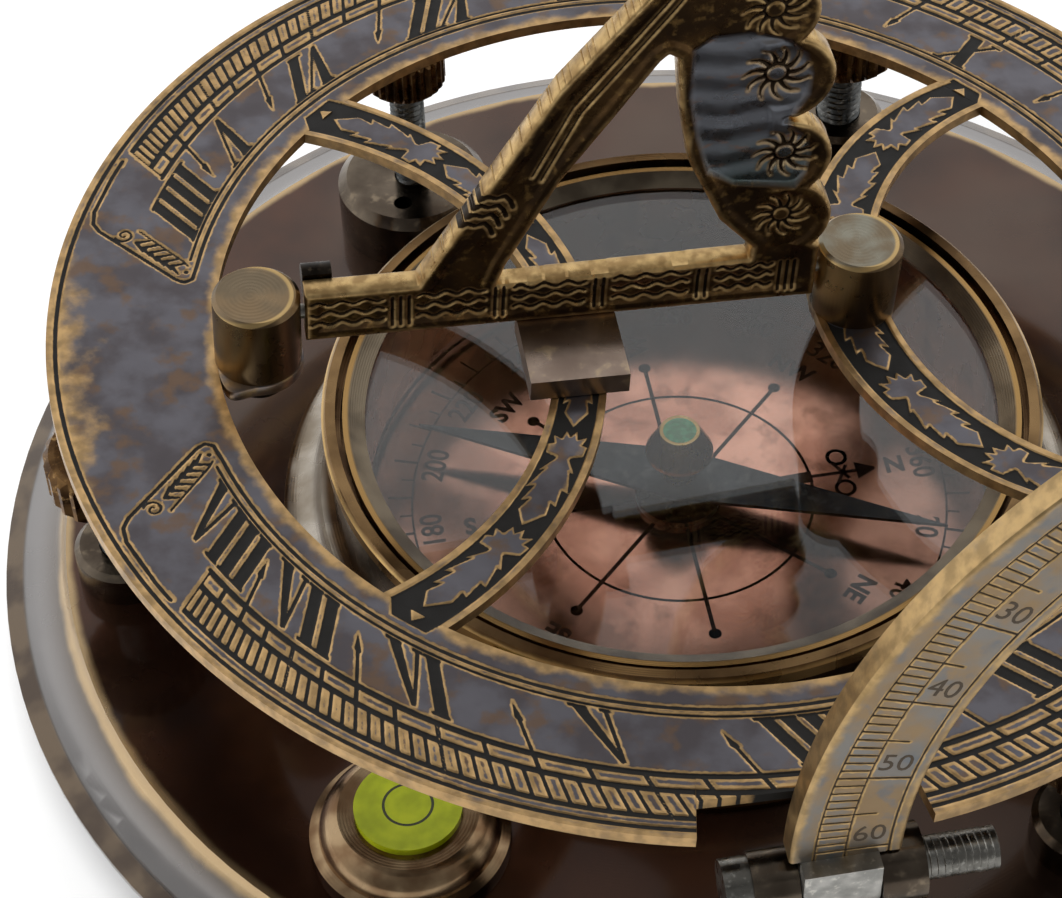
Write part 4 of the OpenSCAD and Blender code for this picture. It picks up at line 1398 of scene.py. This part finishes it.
# %% [markdown]
# The card's marks are filled with black, flush with the copper. Each is a
# thin inlay: rings and rays are drawn as flat bars, and letters start as
# text objects that are given a little thickness and turned into meshes.
# All of them are joined to one piece that lies on the card.

# %% Marks on the compass card
CARD_TOP_MM = 7.3
INLAY_MM = 0.03
CARD_CIRCLE_MM, CARD_SCALE_MM = 14.0, 27.7
RAY_MM, RAY_END_MM = (4.6, 18.2), 18.5
POINT_RADIUS_MM, NORTH_RADIUS_MM, DEGREE_RADIUS_MM = 21.9, 23.0, 25.7
card_ink = aged_brass("card_engraving", srgb(40, 26, 22), srgb(54, 38, 32),
                      srgb(70, 52, 44), patch_mm=2, rough=(0.45, 0.6))


def flat_ring(radius, width, z=CARD_TOP_MM, sides=180):
    """A thin flat ring as a mesh, its underside on z."""
    piece = grid_sheet(sides, 1)
    turns = np.tile(np.radians(np.linspace(0.0, 360.0, sides + 1)), 2)
    reach = np.repeat([radius - width / 2, radius + width / 2], sides + 1)
    places = np.column_stack([reach * np.cos(turns), reach * np.sin(turns),
                              np.full(len(turns), z)])
    move_corners(piece, places * MM)
    return thicken(piece)


def thicken(piece):
    in_edit_mode(piece)
    bpy.ops.mesh.select_all(action="SELECT")
    bpy.ops.mesh.remove_doubles(threshold=0.001 * MM)
    in_object_mode()
    solid = piece.modifiers.new("thickness", "SOLIDIFY")
    solid.thickness = INLAY_MM * MM
    solid.offset = 1
    bpy.ops.object.modifier_apply(modifier="thickness")
    in_edit_mode(piece)
    turn_faces_out()
    in_object_mode()
    return piece


def flat_bar(start, end, width_a, width_b=None):
    """A thin straight or tapered bar between two points of the card."""
    width_b = width_a if width_b is None else width_b
    start, end = np.array(start, float), np.array(end, float)
    way = (end - start) / np.linalg.norm(end - start)
    across = np.array([-way[1], way[0]])
    piece = grid_sheet(1, 1)
    plan = [start - across * width_a / 2, end - across * width_b / 2,
            start + across * width_a / 2, end + across * width_b / 2]
    move_corners(piece, np.array([(p[0], p[1], CARD_TOP_MM) for p in plan]) * MM)
    return thicken(piece)


def lettering(words, size_mm, place, bold=0.0, narrow=1.0):
    """Text as a thin mesh, centred and then put in its place by a matrix."""
    clear_selection()
    bpy.ops.object.text_add()
    item = bpy.context.object
    item.data.body = words
    item.data.size = size_mm * MM * 1.38
    item.data.align_x, item.data.align_y = "CENTER", "CENTER"
    item.data.offset = bold * MM
    item.data.extrude = INLAY_MM * MM / 2
    item.data.resolution_u = 3
    bpy.ops.object.convert(target="MESH")
    item = bpy.context.object
    item.data.transform(Matrix.Diagonal((narrow, 1, 1, 1)))
    item.data.transform(place)
    in_edit_mode(item)
    bpy.ops.mesh.select_all(action="SELECT")
    bpy.ops.mesh.remove_doubles(threshold=0.0005 * MM)
    bpy.ops.mesh.normals_make_consistent(inside=False)
    in_object_mode()
    return item


def join(pieces):
    clear_selection()
    for piece in pieces:
        piece.select_set(True)
    bpy.context.view_layer.objects.active = pieces[0]
    bpy.ops.object.join()
    return bpy.context.object


def card_spot(bearing, radius, facing=None):
    """Where a word stands: bearing clockwise from north, feet to the middle."""
    turn = math.radians(-bearing - 90 if facing is None else facing)
    x, y = at_polar(-bearing, radius)
    middle = Vector((x, y, CARD_TOP_MM + INLAY_MM / 2))
    return Matrix.Translation(middle * MM) @ Matrix.Rotation(turn, 4, "Z")


def card_marks():
    marks = [flat_ring(CARD_CIRCLE_MM, 0.32), flat_ring(CARD_SCALE_MM, 0.22)]
    for bearing in range(45, 360, 45):
        inner, outer = at_polar(-bearing, RAY_MM[0]), at_polar(-bearing, RAY_MM[1])
        marks.append(flat_bar(inner, outer, 0.42))
        x, y = at_polar(-bearing, RAY_END_MM)
        marks.append(flat_ring(0.33, 0.66, sides=28))
        marks[-1].data.transform(Matrix.Translation((x * MM, y * MM, 0)))
    marks.append(flat_bar((RAY_MM[0], 0), (14.2, 0), 0.55, 1.5))
    marks.append(flat_bar((CARD_CIRCLE_MM, 0), (20.6, 0), 0.36))
    marks.append(flat_bar((18.9, 0), (20.9, 0), 2.3, 0.3))
    for side in (-1, 1):
        loop = flat_ring(0.95, 0.4, sides=40)
        loop.data.transform(Matrix.Translation((17.3 * MM, side * 2.15 * MM, 0)))
        marks.append(loop)
        marks.append(flat_bar((16.7, side * 1.4), (18.0, -side * 0.9), 0.36))
    for degree in range(0, 360, 5):
        reach = 29.0 if degree % 10 else 30.2
        marks.append(flat_bar(at_polar(-degree, CARD_SCALE_MM), at_polar(-degree, reach),
                              0.2 if degree % 20 else 0.3))
    for name, bearing in (("N", 0), ("NE", 45), ("E", 90), ("SE", 135), ("S", 180),
                          ("SW", 225), ("W", 270), ("NW", 315)):
        facing = -bearing if len(name) == 1 else None
        reach = POINT_RADIUS_MM if bearing else NORTH_RADIUS_MM
        spot = card_spot(bearing, reach, facing)
        marks.append(lettering(name, 2.1, spot, bold=0.1, narrow=0.95))
    for degree in range(20, 361, 20):
        marks.append(lettering(str(degree), 2.4, card_spot(degree, DEGREE_RADIUS_MM),
                               bold=0.04, narrow=0.9))
    piece = join(marks)
    return settle(piece, "card_marks", "base", "card_copper", card_ink)


card_inlay = card_marks()

# %% [markdown]
# The latitude arc is a strip between two circles about the ring's hinge.
# One tick for each degree, a longer one at every fifth and a line right
# across at every tenth, with its number above it. Its free end is round, so
# the strip narrows there along a circle.

# %% The latitude arc
ARC_FACE_Y_MM = -61.0
ARC_T_MM = 2.4
ARC_OUT_MM, ARC_IN_MM = 62.6, 52.8
ARC_START, ARC_END = 1.6, 66.0
ARC_LINES_MM = {"outer": 60.5, "middle": 57.8, "inner": 54.0}
SIXTY_AT = 2.6
LOWEST_LATITUDE = 0


def arc_plan(degrees, radius):
    """x and z on the arc's face; degrees count up from the -X side."""
    a = np.radians(degrees)
    return np.stack([HINGE_MM[0] - radius * np.cos(a), HINGE_MM[2] + radius * np.sin(a)], -1)


def draw_latitudes(drawing):
    last = SIXTY_AT + 60 - LOWEST_LATITUDE
    for radius, width in ((ARC_LINES_MM["outer"], 0.16), (ARC_LINES_MM["middle"], 0.16),
                          (ARC_LINES_MM["inner"], 0.2)):
        degrees = np.linspace(ARC_START - 0.5, last, 90)
        drawing.line(arc_plan(degrees, np.full(90, radius)), width)
    for latitude in range(60, LOWEST_LATITUDE - 1, -1):
        at = SIXTY_AT + 60 - latitude
        reach = ARC_LINES_MM["middle"]
        width = 0.17
        if latitude % 10 == 0:
            reach, width = ARC_LINES_MM["inner"], 0.2
        elif latitude % 5 == 0:
            reach = 55.9
        ends = arc_plan(np.array([at, at]), np.array([ARC_LINES_MM["outer"], reach]))
        drawing.line(ends, width)


def latitude_strip():
    columns, rows = 620, 74
    piece = grid_sheet(columns, rows)
    cap = (ARC_OUT_MM - ARC_IN_MM) / 2
    middle = (ARC_OUT_MM + ARC_IN_MM) / 2
    cap_degrees = math.degrees(cap / middle)
    round_end = ARC_END + cap_degrees * np.sin(np.linspace(0, math.pi / 2, 41))[1:]
    angles = np.concatenate([np.linspace(ARC_START, ARC_END, columns - 39), round_end])
    beyond = np.clip((angles - ARC_END) / cap_degrees, 0, 0.9995)
    half = cap * np.sqrt(1 - beyond ** 2)
    degrees, share = np.meshgrid(angles, np.linspace(-1, 1, rows + 1))
    radius = middle + share.ravel() * np.tile(half, rows + 1)
    degrees = degrees.ravel()
    plan = arc_plan(degrees, radius)
    drawing = Drawing(plan[:, 0], plan[:, 1])
    draw_latitudes(drawing)
    edge = np.tile(half, rows + 1) * (1 - np.abs(share.ravel()))
    soften = 0.22 * np.clip(1 - edge / 0.3, 0, 1) ** 2
    height = pressed(drawing.cut_mm, 0.1) - soften
    move_corners(piece, np.column_stack([plan, height]) * MM)
    store(piece, "cut_mm", drawing.cut_mm)
    store(piece, "edge_mm", edge)
    close_below(piece, ARC_T_MM, False)
    sort_finishes(piece)
    stand = Matrix(((1, 0, 0, 0), (0, 0, -1, ARC_FACE_Y_MM * MM), (0, 1, 0, 0),
                    (0, 0, 0, 1)))
    piece.data.transform(stand)
    settle(piece, "latitude_arc_etched", "arc_leaf", "arc_slate", arc_face, arc_edge,
           arc_edge)
    smooth(piece)
    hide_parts("latitude_arc")
    return piece


arc_face = etched_finish("arc_etched_brass", srgb(138, 134, 128), srgb(156, 132, 100),
                         srgb(118, 124, 130), srgb(206, 172, 118), srgb(70, 56, 40),
                         rub_mm=0.75, rim_mm=0.16)
arc_edge = aged_brass("arc_edge_gold", srgb(150, 120, 78), srgb(196, 162, 108),
                      srgb(220, 190, 136), patch_mm=2)
arc_strip = latitude_strip()


def arc_numbers():
    numbers = []
    for latitude in range(60, LOWEST_LATITUDE - 1, -10):
        degrees = SIXTY_AT + 60 - latitude + 2.05
        if latitude == 0:
            degrees -= 0.6
        x, z = arc_plan(np.array(degrees), np.array(56.0))
        a = math.radians(degrees)
        inward = Vector((math.cos(a), 0, -math.sin(a)))
        upward = Vector((math.sin(a), 0, math.cos(a)))
        face = Vector((0, -1, 0))
        place = Matrix.Translation(Vector((x, ARC_FACE_Y_MM - 0.005, z)) * MM) @ Matrix(
            (inward, upward, face)).transposed().to_4x4()
        numbers.append(lettering(str(latitude), 2.2, place, bold=0.0))
    piece = join(numbers)
    figure_ink = Finish("arc_figure_brown")
    tone = figure_ink.mix(figure_ink.noise(0.8), srgb(74, 62, 48), srgb(98, 82, 62))
    ink = figure_ink.done(tone, 0.4, 0.5)
    return settle(piece, "latitude_numbers", "arc_leaf", "arc_slate", ink)


arc_figures = arc_numbers()

# %% [markdown]
# Rolled threads catch the light in bright lines. A thread is a grid wrapped
# into a tube whose radius rises and falls along a helix; its two ends are
# closed with fans. Every stud has its own length and place, so one function
# makes them all.

# %% Threads
THREAD_SIDES = 30
ROWS_PER_TURN = 5


def threaded_bar(name, radius, pitch, low, high, place, body, slot, material,
                 point_mm=0.0):
    """A bar along its own Z with a helical thread, put in place by a matrix."""
    rows = int((high - low) / pitch * ROWS_PER_TURN)
    piece = grid_sheet(THREAD_SIDES, rows)
    turn, rise = np.meshgrid(np.linspace(0, 2 * math.pi, THREAD_SIDES + 1),
                             np.linspace(low, high, rows + 1))
    turn, rise = turn.ravel(), rise.ravel()
    phase = (rise / pitch - turn / (2 * math.pi)) % 1
    groove = np.abs(2 * phase - 1)
    depth = 0.42 * pitch * np.clip(1.25 * groove - 0.12, 0, 1)
    ends = np.clip(np.minimum(rise - low, high - rise) / 0.8, 0, 1)
    reach = radius - depth - point_mm * (1 - ends)
    places = np.column_stack([reach * np.cos(turn), reach * np.sin(turn), rise])
    move_corners(piece, places * MM)
    in_edit_mode(piece, "EDGE")
    bpy.ops.mesh.select_all(action="SELECT")
    bpy.ops.mesh.remove_doubles(threshold=0.001 * MM)
    select_open_edges()
    bpy.ops.mesh.edge_face_add()
    turn_faces_out()
    in_object_mode()
    piece.data.transform(place)
    settle(piece, name, body, slot, material)
    smooth(piece, 50)
    return piece


def upright_at(x, y):
    return Matrix.Translation((x * MM, y * MM, 0))


stud_steel = node_objects["rest_stud"].data.materials[0]
LEV_RADIUS_MM = 57
for side_name, degrees in (("south", 180), ("west", 60), ("east", -60)):
    x, y = at_polar(degrees, LEV_RADIUS_MM)
    stud = threaded_bar("lev_thread_" + side_name, 2.5, 0.8, 0.0, 25.5, upright_at(x, y),
                        "lev_%s_lift" % side_name, "stud_steel", stud_steel,
                        point_mm=0.9)
    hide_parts("lev_stud_" + side_name)
rest_thread = threaded_bar("rest_thread", 1.9, 0.7, 5.0, 32.6, upright_at(-21.2, 45.5),
                           "rest_lift", "stud_steel", stud_steel)
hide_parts("rest_stud")

# %% [markdown]
# The arc's bolt lies along X through the fork. Its head and its plain shank
# stay as they are in the solid model, and a thread sleeve goes over the end
# that sticks out.

# %% Thread on the arc's bolt
bolt_place = Matrix.Translation((0, -59.8 * MM, 26.0 * MM)) @ Matrix.Rotation(
    math.radians(90), 4, "Y")
bolt_thread = threaded_bar("arc_bolt_thread", 1.96, 0.62, 8.9, 15.5, bolt_place, "base",
                           "steel", node_objects["arc_bolt"].data.materials[0])

# %% [markdown]
# The level's lens carries a dark circle. It is thin and flat, so it is an
# inlay like the card's marks. The bubble under the lens is in the solid
# model already.

# %% Marks of the spirit level
level_ink = Finish("level_black_ring")
ink_tone = level_ink.mix(level_ink.noise(0.8), srgb(36, 40, 10), srgb(52, 58, 14))
level_ink = level_ink.done(ink_tone, 0.0, 0.25, coat=0.5)
LENS_TOP_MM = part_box("level_lens")[1].z / MM
circle = flat_ring(2.3, 0.26, z=LENS_TOP_MM + 0.002, sides=64)
circle.data.transform(Matrix.Translation(Vector(LEVEL_MM) * MM))
settle(circle, "level_circle", "base", "level_green", level_ink)
print("lens top at", round(LENS_TOP_MM, 2), "mm")
